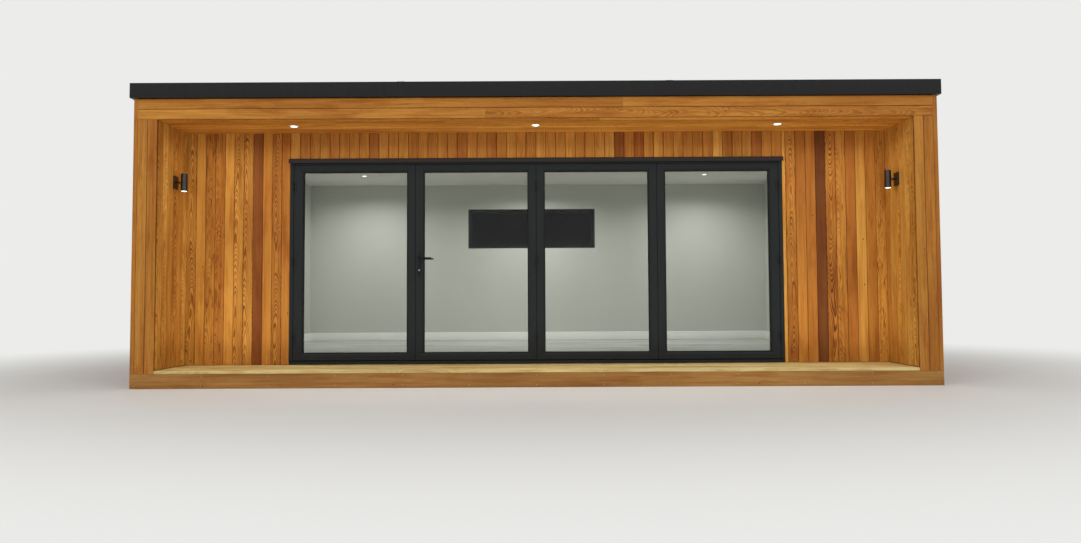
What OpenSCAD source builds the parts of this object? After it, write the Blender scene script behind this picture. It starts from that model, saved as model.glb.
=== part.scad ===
// Garden office pod: a wide flat-roofed timber room with a recessed, cedar-lined front,
// a four-leaf folding door set, a slot window in the rear wall and a lit porch.
// Millimetres, +Z up. The front faces -Y. The origin is at ground level in the middle
// of the plan, so the pod stands on the plane Z = 0.

/* [Overall] */
// Width over the outer faces of the side cladding
pod_w = 7620; // [7200:20:8400]
// Depth from the front boards to the rear cladding
pod_d = 4900; // [4000:20:6000]
// Height of the porch deck above the ground
base_h = 167; // [150:1:260]
// Height of the room from floor to ceiling
room_h = 2450; // [2380:5:2500]
// Rise from the porch deck to the floor inside
floor_step = 30; // [24:1:40]

/* [Porch] */
// Depth of the recessed porch
porch_d = 600; // [400:10:1000]
// Width of the front facing on each side of the porch
side_w = 225; // [180:5:300]
// Drop of the porch soffit below the underside of the roof
soffit_drop = 119; // [80:1:150]
// Thickness of the porch deck boards
deck_t = 28; // [20:1:35]
// Gap below the cladding where it stops over the deck
clad_drip = 6; // [3:1:12]

/* [Walls] */
// Thickness of the cedar cladding boards
clad_t = 20; // [16:1:26]
// Width of the cedar trims that cover the outer corners
corner_w = 38; // [30:1:60]
// Thickness of the insulated core of the front and rear walls
core_t = 165; // [120:5:200]
// Thickness of the plasterboard on walls and ceiling
lining_t = 15; // [12:0.5:18]
// Height of the skirting boards
skirting_h = 125; // [70:5:150]
// Thickness of the skirting boards
skirting_t = 18; // [12:1:22]

/* [Base] */
// Height of the base bearers
bearer_h = 70; // [50:5:90]
// Width of each base bearer
bearer_w = 45; // [38:1:75]
// Largest spacing of the base bearers
bearer_pitch = 650; // [400:10:700]
// Thickness of the plinth boards round the base
plinth_t = 20; // [16:1:26]
// Thickness of the laminate floor
finish_t = 12; // [8:1:14]

/* [Roof] */
// Thickness of the roof panel at its low rear edge
roof_t = 130; // [120:5:180]
// Fall of the roof from front to rear
roof_fall = 50; // [30:5:55]
// Width of the timber rim round the roof
rim_w = 50; // [38:1:60]
// Height of the rim over the high edge of the roof panel
rim_up = 42; // [42:1:80]
// Height of the dark edge trim above the fascia
trim_h = 145; // [120:5:200]
// Overhang of the edge trim past the cladding
trim_out = 30; // [15:1:60]
// Thickness of the folded metal of the trim
trim_t = 4; // [3:0.5:6]
// Height of the lip that the trim turns down inside the rim
trim_lip = 36; // [20:1:38]
// Thickness of the rubber roof membrane
membrane_t = 4; // [2:0.5:6]

/* [Rear gutter] */
// Height of the dark board behind the gutter
rear_board_h = 136; // [130:1:150]
// Thickness of the dark board behind the gutter
rear_board_t = 20; // [16:1:25]
// Width of the gutter from back to front
gutter_w = 100; // [80:5:120]
// Depth of the gutter
gutter_h = 80; // [60:5:84]
// Thickness of the gutter wall
gutter_t = 4; // [3:0.5:6]
// Drop of the gutter's rim below the low edge of the roof panel
gutter_drop = 36; // [30:1:50]
// Diameter of the downpipe
pipe_d = 68; // [60:1:75]
// Distance of the downpipe from the side of the pod
pipe_inset = 220; // [160:5:400]
// Height of the mouth of the downpipe above the ground
pipe_mouth_z = 90; // [60:5:150]
// Radius of the bend of the downpipe's shoe
shoe_r = 80; // [60:5:120]
// Distance of the lowest clip above the shoe's bend
clip_low = 150; // [80:10:300]
// Distance of the highest clip below the gutter
clip_high = 300; // [150:10:400]

/* [Folding doors] */
// Width of the door set over its outer frame
door_w = 5040; // [4600:20:5400]
// Height of the door set over its outer frame
door_h = 2095; // [2000:5:2100]
// Depth of the outer frame
frame_d = 80; // [70:1:90]
// Visible width of the outer frame's jambs
frame_face = 35; // [30:1:60]
// Visible height of the outer frame's head
head_face = 55; // [45:1:70]
// Distance that the frame stands out from the cladding
frame_proud = 12; // [4:1:20]
// Lap of the closing stop behind the leaves
stop_lap = 12; // [8:1:16]
// Height of the threshold
threshold_h = 35; // [25:1:38]
// Clearance round each leaf
leaf_gap = 3; // [2:0.5:4]
// Depth of a leaf
leaf_d = 64; // [60:1:66]
// Distance from the face of the frame back to the face of a leaf
leaf_set = 4; // [2:1:6]
// Width of the stiles that meet another leaf
stile_w = 80; // [65:1:95]
// Width of the stiles that meet the frame's jambs
jamb_stile_w = 90; // [65:1:105]
// Height of a leaf's rails
rail_h = 69; // [60:1:90]
// Thickness of the glass units
glass_t = 28; // [24:1:32]
// Distance that the glass reaches behind the lips of its frame
glass_lap = 12; // [10:1:16]
// Clearance round the glass in its rebate
glass_gap = 4; // [2:1:6]
// Thickness of the rubber gaskets between lips and glass
gasket_t = 6; // [4:1:8]
// Width of the gaskets that shows past the lips
gasket_w = 6; // [4:1:10]
// Width of the gaskets behind the lips
gasket_lap = 8; // [6:1:9]
// Width of the slope on the edge of each lip
nose_w = 9; // [4:1:12]
// Depth of the slope on the edge of each lip
nose_d = 5; // [3:0.5:5.5]
// Height of the flashing over the door set
flashing_h = 45; // [35:1:60]
// Projection of the flashing past the face of the frame
flashing_out = 24; // [15:1:40]
// Distance that each end of the flashing runs past the frame
flashing_end = 12; // [0:1:30]

/* [Door furniture] */
// Length of a hinge
hinge_len = 92; // [70:2:120]
// Radius of a hinge barrel
hinge_r = 8; // [6:0.5:10]
// Gap between the three knuckles of a hinge
knuckle_gap = 1.5; // [1:0.5:3]
// Width of a hinge plate on each side of the barrel
hinge_plate_w = 26; // [20:1:34]
// Thickness of a hinge plate
hinge_plate_t = 3; // [2:0.5:4]
// Distance of the end hinges from the ends of a leaf
hinge_inset = 180; // [120:5:260]
// Height of the lever above the porch deck
lever_z = 1080; // [950:5:1150]
// Length of the lever from its spindle
lever_len = 135; // [110:5:150]
// Thickness of the lever
lever_t = 16; // [12:1:20]
// Clear distance between the lever and the leaf
lever_reach = 42; // [35:1:50]
// Height of the lever's back plate
plate_h = 235; // [200:5:260]
// Width of the lever's back plate
plate_w = 32; // [26:1:40]
// Thickness of the lever's back plate
plate_t = 9; // [6:1:12]
// Distance from the spindle down to the key cylinder
key_drop = 122; // [92:1:122]
// Diameter of the key cylinder
key_d = 17; // [14:1:20]
// Distance that the key cylinder stands out from its plate
key_out = 6; // [2:1:10]

/* [Rear window] */
// Width of the rear window
win_w = 2000; // [1200:20:2600]
// Height of the rear window
win_h = 620; // [450:10:800]
// Height of the rear window's sill above the porch deck
win_sill = 1475; // [1000:5:1500]
// Offset of the rear window from the middle of the wall
win_x = -100; // [-600:10:600]
// Visible width of the window frame
win_face = 45; // [35:1:60]
// Depth of the window frame
win_d = 70; // [60:1:90]
// Distance from the cladding back to the window frame
win_set = 5; // [2:1:20]
// Thickness of the window's glass unit
win_glass_t = 24; // [20:1:32]
// Thickness of the lining between the window frame and the room
reveal_t = 9; // [6:1:15]
// Projection of the window sill past the cladding
sill_out = 25; // [15:1:40]
// Thickness of the window sill
sill_t = 12; // [8:1:20]

/* [Lights] */
// Radius of a downlight's visible ring
ring_r = 44; // [38:1:50]
// Height of a downlight's visible ring
ring_t = 4; // [3:0.5:6]
// Radius of a downlight's lens
lens_r = 30; // [22:1:34]
// Depth of the lens in its ring
lens_in = 2.5; // [1.5:0.5:3]
// Radius of the hole cut for a downlight
can_hole_r = 36; // [30:1:37]
// Clearance between a downlight and its hole
can_gap = 1; // [0.5:0.5:2]
// Spacing of the porch downlights
porch_light_pitch = 2390; // [1600:10:2600]
// Spacing of the room downlights across the room
room_light_pitch = 2490; // [1600:10:2600]
// Distance of the room downlights from the front and rear walls
room_light_inset = 900; // [500:10:1200]
// Offset of the room downlights from the middle of the room
room_light_x = -45; // [-200:5:200]
// Height of the wall lights above the porch deck
wall_light_z = 1830; // [1500:10:2000]
// Distance of the wall lights behind the front boards
wall_light_y = 350; // [250:5:420]
// Radius of a wall light's tube
tube_r = 32; // [24:1:35]
// Length of a wall light's tube
tube_len = 175; // [140:5:220]
// Distance from the cheek to the axis of the tube
tube_axis = 92; // [75:1:100]
// Wall of a wall light's tube
tube_wall = 3; // [2:0.5:5]
// Depth of the lens in each end of the tube
tube_recess = 14; // [6:1:25]
// Width of the arm that carries the tube
arm_w = 20; // [14:1:30]
// Width of a wall light's back box
box_w = 84; // [60:2:140]
// Height of a wall light's back box
box_h = 130; // [100:5:140]
// Thickness of a wall light's back box
box_t = 16; // [12:1:30]

/* [Fits] */
// Gap between pieces that are butted in a row
joint_gap = 1; // [0.5:0.5:2]
// Gap between a frame and the opening that it stands in
frame_gap = 5; // [2:1:8]
// Gap between cladding and a frame
clad_gap = 3; // [2:1:6]

/* [Hidden] */
$fn = 48;
eps = 0.01;

// Plan: the rear reach is the board and the gutter that stand behind the rear cladding.
half_w = pod_w / 2;
base_x = half_w - plinth_t;
rear_reach = rear_board_t + gutter_w;
front_y = -(pod_d + rear_reach - trim_out) / 2;
back_y = front_y + pod_d;
core_x = half_w - clad_t;
open_x = half_w - side_w;
wall_in_x = open_x + clad_t;
room_x = wall_in_x - lining_t;
core_front = front_y + clad_t;
core_back = back_y - clad_t;
porch_back = front_y + porch_d;
front_core_y = porch_back + clad_t;
front_core_in = front_core_y + core_t;
rear_core_in = core_back - core_t;
room_front = front_core_in + lining_t;
room_back = rear_core_in - lining_t;

// Levels
z_deck = base_h;
z_plinth = base_h - deck_t;
z_floor = base_h + floor_step;
z_panel = z_floor - finish_t;
z_ceiling = z_floor + room_h;
z_roof = z_ceiling + lining_t;
z_soffit = z_roof - soffit_drop;
z_low = z_roof + roof_t;
z_high = z_low + roof_fall;
z_rim = z_high + rim_up;
z_top = z_rim + trim_t;
z_trim = z_top - trim_h;
inner_x = core_x - rim_w;
inner_y = core_front + rim_w;

// Door set
door_z = z_deck + clad_drip;
door_top = door_z + door_h;
face_y = porch_back - frame_proud;
leaf_y = face_y + leaf_set;
leaf_z = door_z + threshold_h + leaf_gap;
leaf_top = door_top - head_face - leaf_gap;
clear_w = door_w - 2 * frame_face;
pane_w = (clear_w - 5 * leaf_gap - 2 * jamb_stile_w - 6 * stile_w) / 4;
pane_z = leaf_z + rail_h;
pane_top = leaf_top - rail_h;
glass_y = leaf_y + (leaf_d - glass_t) / 2;
lip_t = glass_y - gasket_t - leaf_y;
flashing_z = door_top + clad_drip - flashing_h;
head_z = door_top + frame_gap;

// Rear window
win_z = z_deck + win_sill;
win_frame_y = back_y - win_set - win_d;

// Gutter and downpipe
rear_board_y = back_y + rear_board_t;
rear_board_z = z_low - rear_board_h;
gutter_top = z_low - gutter_drop;
pipe_x = -(half_w - pipe_inset);
pipe_y = rear_board_y + gutter_w / 2;
clip_t = 3;
clip_r = pipe_d / 2 + clip_t;
clip_h = 24;
clip_w = 24;
collar_h = 40;
shoe_angle = 60;
membrane_end = gutter_top + 2;

// Lights
porch_light_y = front_y + porch_d / 2;
wall_light_at = front_y + wall_light_y;
room_light_rows = [room_front + room_light_inset, room_back - room_light_inset];

cedar = "#b5713a";
deck_colour = "#c59a5b";
anthracite = "#32393d";
roof_dark = "#1d1d1f";
plaster = "#d9d8d2";

// Stiles and left edge of leaf n, and the left edge of its pane between the stiles
function left_stile(n) = n == 1 ? jamb_stile_w : stile_w;
function right_stile(n) = n == 4 ? jamb_stile_w : stile_w;
function leaf_w(n) = left_stile(n) + pane_w + right_stile(n);
function leaf_x(n) = n == 1 ? -clear_w / 2 + leaf_gap : leaf_x(n - 1) + leaf_w(n - 1) + leaf_gap;
function pane_x(n) = leaf_x(n) + left_stile(n);

// A box given by its lowest and highest corners
module slab(low, high) {
    translate(low) cube(high - low);
}

// A shape and its mirror image across the middle of the pod
module both_sides() {
    children();
    mirror([1, 0, 0]) children();
}

// A profile drawn as [y, z] points and run along X
module along_x(x_low, x_high) {
    translate([x_low, 0, 0]) rotate([90, 0, 90]) linear_extrude(x_high - x_low) children();
}

// A profile drawn as [x, z] points and run along Y
module along_y(y_low, y_high) {
    translate([0, y_high, 0]) rotate([90, 0, 0]) linear_extrude(y_high - y_low) children();
}

// Bearers on the ground run from front to rear. Under the porch a joist stands on each.
module base_frame() {
    span = 2 * base_x - bearer_w;
    bays = ceil(span / bearer_pitch);
    color("#8a7a4c") for (i = [0 : bays]) {
        x = -base_x + i * span / bays;
        slab([x, front_y + plinth_t, 0], [x + bearer_w, back_y - plinth_t, bearer_h]);
        if (i > 0 && i < bays)
            slab([x, front_y + plinth_t, bearer_h - eps], [x + bearer_w, front_core_y, z_plinth]);
    }
}

// The front board is the riser under the porch deck. The other three close the base.
module plinth_boards() {
    color(deck_colour) {
        slab([-half_w, front_y, 0], [half_w, front_y + plinth_t, z_plinth]);
        slab([-half_w, back_y - plinth_t, 0], [half_w, back_y, z_plinth]);
        both_sides() slab(
            [half_w - plinth_t, front_y + plinth_t + joint_gap, 0],
            [half_w, back_y - plinth_t - joint_gap, z_plinth]);
    }
}

// Insulated floor, rebated at its front edge for the door threshold
module floor_panel() {
    color("#cdb98c") difference() {
        slab([-wall_in_x, front_core_y, bearer_h], [wall_in_x, core_back, z_panel]);
        slab([-door_w / 2 - frame_gap, front_core_y - 1, door_z],
             [door_w / 2 + frame_gap, face_y + frame_d, z_panel + 1]);
    }
}

// Laminate, carried through the doorway to the threshold
module floor_finish() {
    color("#b9b6ae") {
        slab([-room_x, room_front, z_panel], [room_x, room_back, z_floor]);
        slab([-door_w / 2 - frame_gap, face_y + frame_d, z_panel],
             [door_w / 2 + frame_gap, room_front + eps, z_floor]);
    }
}

module porch_deck() {
    color(deck_colour)
        slab([-open_x + joint_gap, front_y, z_plinth], [open_x - joint_gap, front_core_y, z_deck]);
}

module side_wall() {
    slab([wall_in_x, core_front, bearer_h], [core_x, core_back, z_roof]);
}

module left_wall() {
    color("#cdb98c") mirror([1, 0, 0]) side_wall();
}

module right_wall() {
    color("#cdb98c") side_wall();
}

// The rear wall is built as four panels round the window.
module rear_wall_part(x_low, x_high, z_low_edge, z_high_edge) {
    color("#cdb98c") slab([x_low, rear_core_in, z_low_edge], [x_high, core_back, z_high_edge]);
}

module rear_wall_left() {
    rear_wall_part(-wall_in_x, win_x - win_w / 2, z_panel, z_roof);
}

module rear_wall_right() {
    rear_wall_part(win_x + win_w / 2, wall_in_x, z_panel, z_roof);
}

module rear_wall_sill() {
    rear_wall_part(win_x - win_w / 2, win_x + win_w / 2, z_panel, win_z);
}

module rear_wall_head() {
    rear_wall_part(win_x - win_w / 2, win_x + win_w / 2, win_z + win_h, z_roof);
}

// The front wall stands beside and over the door set.
module front_wall_side() {
    slab([door_w / 2 + frame_gap, front_core_y, z_panel], [wall_in_x, front_core_in, z_roof]);
}

module front_wall_left() {
    color("#cdb98c") mirror([1, 0, 0]) front_wall_side();
}

module front_wall_right() {
    color("#cdb98c") front_wall_side();
}

module front_wall_head() {
    color("#cdb98c") slab([-door_w / 2 - frame_gap, front_core_y, head_z],
                          [door_w / 2 + frame_gap, front_core_in, z_roof]);
}

module side_cladding() {
    color(cedar) both_sides()
        slab([core_x, front_y + corner_w, z_plinth], [half_w, back_y - corner_w, z_trim]);
}

module rear_cladding() {
    color(cedar) difference() {
        slab([-half_w + corner_w, core_back, z_plinth], [half_w - corner_w, back_y, z_trim]);
        slab([win_x - win_w / 2, core_back - 1, win_z - sill_t],
             [win_x + win_w / 2, back_y + 1, win_z + win_h]);
    }
}

// Cladding of the recessed wall, with its opening for the doors and their flashing
module front_cladding() {
    side = door_w / 2 + max(clad_gap, flashing_end);
    color(cedar) difference() {
        slab([-open_x, porch_back, z_deck + clad_drip], [open_x, front_core_y, z_soffit]);
        slab([-door_w / 2 - clad_gap, porch_back - 1, z_deck],
             [door_w / 2 + clad_gap, front_core_y + 1, flashing_z + flashing_h]);
        slab([-side, porch_back - 1, flashing_z], [side, front_core_y + 1, flashing_z + flashing_h]);
    }
}

module cheek_linings() {
    color(cedar) both_sides()
        slab([open_x, core_front, z_deck + clad_drip], [wall_in_x, front_core_y, z_soffit + clad_t]);
}

// Soffit boards hang from a batten along each edge and have a hole for each downlight.
module soffit_lining() {
    color(cedar) difference() {
        union() {
            slab([-open_x, core_front, z_soffit], [open_x, front_core_y, z_soffit + clad_t]);
            for (y = [core_front, front_core_y - bearer_w])
                slab([-open_x, y, z_soffit + clad_t - eps], [open_x, y + bearer_w, z_roof]);
        }
        for (i = [-1 : 1]) translate([i * porch_light_pitch, porch_light_y, z_soffit - 1])
            cylinder(r = can_hole_r, h = clad_t + 2);
    }
}

module surround_boards() {
    color(cedar) both_sides()
        slab([open_x, front_y, z_plinth], [half_w - corner_w, core_front, z_soffit]);
}

module fascia() {
    color(cedar)
        slab([-half_w + corner_w, front_y, z_soffit], [half_w - corner_w, core_front, z_trim]);
}

// An L-shaped trim stands at each outer corner.
module corner_trims() {
    color(cedar) both_sides() for (rear = [0, 1])
        translate([half_w, rear ? back_y : front_y, z_plinth])
            mirror([0, rear, 0]) linear_extrude(z_trim - z_plinth) polygon([
                [0, 0], [0, corner_w], [-clad_t, corner_w],
                [-clad_t, clad_t], [-corner_w, clad_t], [-corner_w, 0]]);
}

// Plasterboard on all four walls, open at the doors and the rear window
module wall_lining() {
    color(plaster) difference() {
        slab([-wall_in_x, front_core_in, z_panel], [wall_in_x, rear_core_in, z_ceiling]);
        slab([-room_x, room_front, z_panel - 1], [room_x, room_back, z_ceiling + 1]);
        slab([-door_w / 2 - frame_gap, front_core_in - 1, z_panel - 1],
             [door_w / 2 + frame_gap, room_front + 1, head_z]);
        slab([win_x - win_w / 2, room_back - 1, win_z], [win_x + win_w / 2, rear_core_in + 1, win_z + win_h]);
    }
}

module ceiling() {
    color(plaster) difference() {
        slab([-wall_in_x, front_core_in, z_ceiling], [wall_in_x, rear_core_in, z_roof]);
        for (i = [-1 : 1], y = room_light_rows)
            translate([room_light_x + i * room_light_pitch, y, z_ceiling - 1])
                cylinder(r = can_hole_r, h = lining_t + 2);
    }
}

// Skirting runs round the room and stops at the doors.
module skirting() {
    color(plaster) difference() {
        slab([-room_x, room_front, z_floor], [room_x, room_back, z_floor + skirting_h]);
        slab([-room_x + skirting_t, room_front + skirting_t, z_floor - 1],
             [room_x - skirting_t, room_back - skirting_t, z_floor + skirting_h + 1]);
        slab([-door_w / 2 - frame_gap, room_front - 1, z_floor - 1],
             [door_w / 2 + frame_gap, room_front + skirting_t + 1, z_floor + skirting_h + 1]);
    }
}

// Rim boards stand on the walls. The rear one is low, so that water runs over it.
module roof_rim() {
    color("#cdb98c") {
        slab([-core_x, core_front, z_roof], [core_x, inner_y, z_rim]);
        slab([-inner_x + joint_gap, core_back - rim_w, z_roof],
             [inner_x - joint_gap, core_back, z_low]);
        both_sides() slab([inner_x, inner_y + joint_gap, z_roof], [core_x, core_back, z_rim]);
    }
}

module roof_panel() {
    color("#cdb98c") along_x(-inner_x, inner_x) polygon([
        [inner_y, z_roof], [core_back - rim_w, z_roof],
        [core_back - rim_w, z_low], [inner_y, z_high]]);
}

// The membrane covers the panel, turns up inside the rim and laps over the rear board.
module roof_membrane() {
    low_y = core_back - rim_w;
    color(roof_dark) {
        along_x(-inner_x, inner_x) polygon([
            [inner_y, z_high], [low_y, z_low], [rear_board_y, z_low],
            [rear_board_y, membrane_end], [rear_board_y + membrane_t, membrane_end],
            [rear_board_y + membrane_t, z_low + membrane_t], [low_y, z_low + membrane_t],
            [inner_y + membrane_t, z_high + membrane_t], [inner_y + membrane_t, z_rim],
            [inner_y, z_rim]]);
        both_sides() along_x(inner_x - membrane_t, inner_x) polygon([
            [inner_y, z_high], [low_y, z_low], [core_back, z_low],
            [core_back, z_rim], [inner_y, z_rim]]);
    }
}

// Cross-section of the folded edge trim. Its first axis runs inwards from the outer face.
module trim_section() {
    foot = trim_out + clad_t;
    reach = foot + rim_w + membrane_t + trim_t;
    polygon([
        [0, 0], [foot, 0], [foot, trim_t], [trim_t, trim_t],
        [trim_t, trim_h - trim_t], [reach - trim_t, trim_h - trim_t],
        [reach - trim_t, trim_h - trim_lip], [reach, trim_h - trim_lip], [reach, trim_h], [0, trim_h]]);
}

// The trim is mitred at the front corners and capped at its rear ends.
// A flat board closes the rear edge, behind the gutter.
module roof_edge_trim() {
    out_x = half_w + trim_out;
    out_y = front_y - trim_out;
    end_y = rear_board_y;
    far = 2 * trim_out + clad_t + rim_w + membrane_t + trim_t;
    color(roof_dark) {
        intersection() {
            translate([0, out_y, z_trim]) along_x(-out_x, out_x) trim_section();
            translate([0, 0, z_trim - 1]) linear_extrude(trim_h + 2) polygon([
                [-out_x, out_y], [out_x, out_y],
                [out_x - far, out_y + far], [-out_x + far, out_y + far]]);
        }
        both_sides() {
            intersection() {
                translate([out_x, 0, z_trim]) mirror([1, 0, 0]) along_y(out_y, end_y) trim_section();
                translate([0, 0, z_trim - 1]) linear_extrude(trim_h + 2) polygon([
                    [out_x, out_y + joint_gap], [out_x, end_y],
                    [out_x - far, end_y], [out_x - far, out_y + far + joint_gap]]);
            }
            slab([inner_x, end_y - trim_t, z_trim], [out_x, end_y, z_top]);
        }
        slab([-inner_x + joint_gap, back_y, rear_board_z],
             [inner_x - joint_gap, rear_board_y, z_low]);
    }
}

// Square gutter, open on top, with closed ends
module rear_gutter() {
    end_x = half_w;
    color(anthracite) difference() {
        slab([-end_x, rear_board_y, gutter_top - gutter_h],
             [end_x, rear_board_y + gutter_w, gutter_top]);
        slab([-end_x + gutter_t, rear_board_y + gutter_t, gutter_top - gutter_h + gutter_t],
             [end_x - gutter_t, rear_board_y + gutter_w - gutter_t, gutter_top + 1]);
    }
}

// Downpipe with a collar under the gutter, three clips to the wall and a shoe at its foot.
// The shoe is a bend of 60 degrees that throws the water sideways.
module downpipe() {
    pipe_top = gutter_top - gutter_h;
    bend_z = pipe_mouth_z + shoe_r;
    color(anthracite) {
        translate([pipe_x, pipe_y, bend_z]) cylinder(d = pipe_d, h = pipe_top - bend_z);
        translate([pipe_x - shoe_r, pipe_y, bend_z]) rotate([-90, 0, 0])
            rotate_extrude(angle = shoe_angle) translate([shoe_r, 0]) circle(d = pipe_d);
        translate([pipe_x, pipe_y, pipe_top - collar_h]) cylinder(r = clip_r, h = collar_h);
        for (z = [bend_z + clip_low, (bend_z + pipe_top) / 2, pipe_top - clip_high])
            translate([pipe_x, pipe_y, z]) {
                cylinder(r = clip_r, h = clip_h);
                translate([-clip_w / 2, back_y - pipe_y, 0]) cube([clip_w, pipe_y - back_y, clip_h]);
            }
    }
}

// Jambs and head of the outer frame, with the stop that the leaves close on
module door_frame() {
    half = door_w / 2;
    stop_y = leaf_y + leaf_d + leaf_gap;
    inside = half - frame_face;
    under = door_top - head_face;
    color(anthracite) difference() {
        slab([-half, face_y, door_z + threshold_h], [half, face_y + frame_d, door_top]);
        slab([-inside, face_y - 1, door_z], [inside, stop_y, under]);
        slab([-inside + stop_lap, face_y, door_z],
             [inside - stop_lap, face_y + frame_d + 1, under - stop_lap]);
    }
}

// Low threshold, sloped to the outside, with the guide channel for the leaves
module door_threshold() {
    back = face_y + frame_d;
    track_y = leaf_y + leaf_d / 2;
    track_w = 14;
    track_d = 10;
    slope_w = 18;
    slope_h = 8;
    color(anthracite) along_x(-door_w / 2, door_w / 2) polygon([
        [face_y, door_z], [back, door_z], [back, door_z + threshold_h],
        [track_y + track_w / 2, door_z + threshold_h],
        [track_y + track_w / 2, door_z + threshold_h - track_d],
        [track_y - track_w / 2, door_z + threshold_h - track_d],
        [track_y - track_w / 2, door_z + threshold_h],
        [face_y + slope_w, door_z + threshold_h],
        [face_y, door_z + threshold_h - slope_h]]);
}

// Folded flashing that throws water clear of the door head
module head_flashing() {
    nose_y = face_y - flashing_out;
    top = flashing_z + flashing_h;
    fold_t = 4;
    slope_w = 6;
    slope_h = 8;
    color(roof_dark) along_x(-door_w / 2 - flashing_end, door_w / 2 + flashing_end) polygon([
        [front_core_y, door_top], [face_y, door_top], [face_y, flashing_z + fold_t],
        [nose_y + fold_t, flashing_z + fold_t], [nose_y + fold_t, flashing_z],
        [nose_y, flashing_z], [nose_y, top - slope_h], [nose_y + slope_w, top],
        [front_core_y, top]]);
}

// Cut that slopes the edges of a pane opening. It is widest by grow just outside the face.
module pane_slope(low, high, face, inner, grow) {
    outer = face - sign(inner - face);
    wide = grow * (1 + 1 / abs(inner - face));
    intersection() {
        along_x(low.x - wide, high.x + wide) polygon([
            [outer, low.z - wide], [outer, high.z + wide], [inner, high.z], [inner, low.z]]);
        translate([0, 0, low.z - wide]) linear_extrude(high.z - low.z + 2 * wide) polygon([
            [low.x - wide, outer], [high.x + wide, outer], [high.x, inner], [low.x, inner]]);
    }
}

// One leaf: a welded frame with a lip on each side of the rebate that holds its glass unit
module door_leaf(n) {
    low = [pane_x(n), leaf_y, pane_z];
    high = [pane_x(n) + pane_w, leaf_y + leaf_d, pane_top];
    rebate = glass_lap + glass_gap;
    color(anthracite) difference() {
        slab([leaf_x(n), leaf_y, leaf_z], [leaf_x(n) + leaf_w(n), leaf_y + leaf_d, leaf_top]);
        slab([low.x, low.y - 1, low.z], [high.x, high.y + 1, high.z]);
        slab([low.x - rebate, low.y + lip_t, low.z - rebate],
             [high.x + rebate, high.y - lip_t, high.z + rebate]);
        pane_slope(low, high, low.y, low.y + nose_d, nose_w);
        pane_slope(low, high, high.y, high.y - nose_d, nose_w);
    }
}

module door_leaf_1() {
    door_leaf(1);
}

module door_leaf_2() {
    door_leaf(2);
}

module door_leaf_3() {
    door_leaf(3);
}

module door_leaf_4() {
    door_leaf(4);
}

// Rubber gaskets hold each glass unit against both lips of its leaf.
module door_gaskets() {
    color("#111111") for (n = [1 : 4], y = [glass_y - gasket_t, glass_y + glass_t])
        difference() {
            slab([pane_x(n) - gasket_lap, y, pane_z - gasket_lap],
                 [pane_x(n) + pane_w + gasket_lap, y + gasket_t, pane_top + gasket_lap]);
            slab([pane_x(n) + gasket_w, y - 1, pane_z + gasket_w],
                 [pane_x(n) + pane_w - gasket_w, y + gasket_t + 1, pane_top - gasket_w]);
        }
}

module door_glass() {
    color("#9fb4b4", 0.4) for (n = [1 : 4])
        slab([pane_x(n) - glass_lap, glass_y, pane_z - glass_lap],
             [pane_x(n) + pane_w + glass_lap, glass_y + glass_t, pane_top + glass_lap]);
}

// One hinge on the outside of a joint: a barrel with a plate on each side of it. The plate
// on a leaf is packed out by step to the plane of the plate on the frame.
module door_hinge(step) {
    knuckle = (hinge_len - 2 * knuckle_gap) / 3;
    translate([0, -hinge_plate_t - hinge_r * 0.7, 0]) {
        cylinder(r = hinge_r * 0.8, h = hinge_len);
        for (i = [0 : 2]) translate([0, 0, i * (knuckle + knuckle_gap)])
            cylinder(r = hinge_r, h = knuckle);
    }
    slab([-hinge_plate_w, -hinge_plate_t, 0], [eps, 0, hinge_len]);
    slab([0, -hinge_plate_t, 0], [hinge_plate_w, step, hinge_len]);
}

// Leaf 1 hangs on the left jamb. Leaves 2 to 4 fold to the right jamb, so the joint
// between leaves 3 and 4 has its hinges on the inside.
module door_hinges() {
    jamb_joint = -clear_w / 2 + leaf_gap / 2;
    color(anthracite)
        for (z = [leaf_z + hinge_inset, (leaf_z + leaf_top - hinge_len) / 2,
                  leaf_top - hinge_inset - hinge_len]) {
            both_sides() translate([jamb_joint, face_y, z]) door_hinge(leaf_set);
            translate([leaf_x(3) - leaf_gap / 2, leaf_y, z]) door_hinge(0);
            translate([leaf_x(4) - leaf_gap / 2, leaf_y + leaf_d, z])
                mirror([0, 1, 0]) door_hinge(0);
        }
}

// One lever set on the outer face of a leaf: a back plate, a lever and a key cylinder
module lever_set() {
    bar_y = -lever_reach - lever_t;
    along_y(-plate_t, 0) translate([0, -key_drop / 2]) rounded_bar(plate_w, plate_h);
    along_y(bar_y, -plate_t + eps) circle(d = lever_t);
    along_y(bar_y, bar_y + lever_t)
        translate([(lever_len - lever_t) / 2, 0]) rotate(90) rounded_bar(lever_t, lever_len);
    along_y(-plate_t - key_out, -plate_t + eps) translate([0, -key_drop]) circle(d = key_d);
}

// Lever sets on both faces of the first stile of leaf 2
module door_handle() {
    x = leaf_x(2) + stile_w / 2;
    z = z_deck + lever_z;
    color("#24282b") {
        translate([x, leaf_y, z]) lever_set();
        translate([x, leaf_y + leaf_d, z]) mirror([0, 1, 0]) lever_set();
    }
}

// A bar with round ends, drawn round its own middle
module rounded_bar(width, height) {
    square([width, height - width], center = true);
    for (end = [-1, 1]) translate([0, end * (height - width) / 2]) circle(d = width);
}

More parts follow.
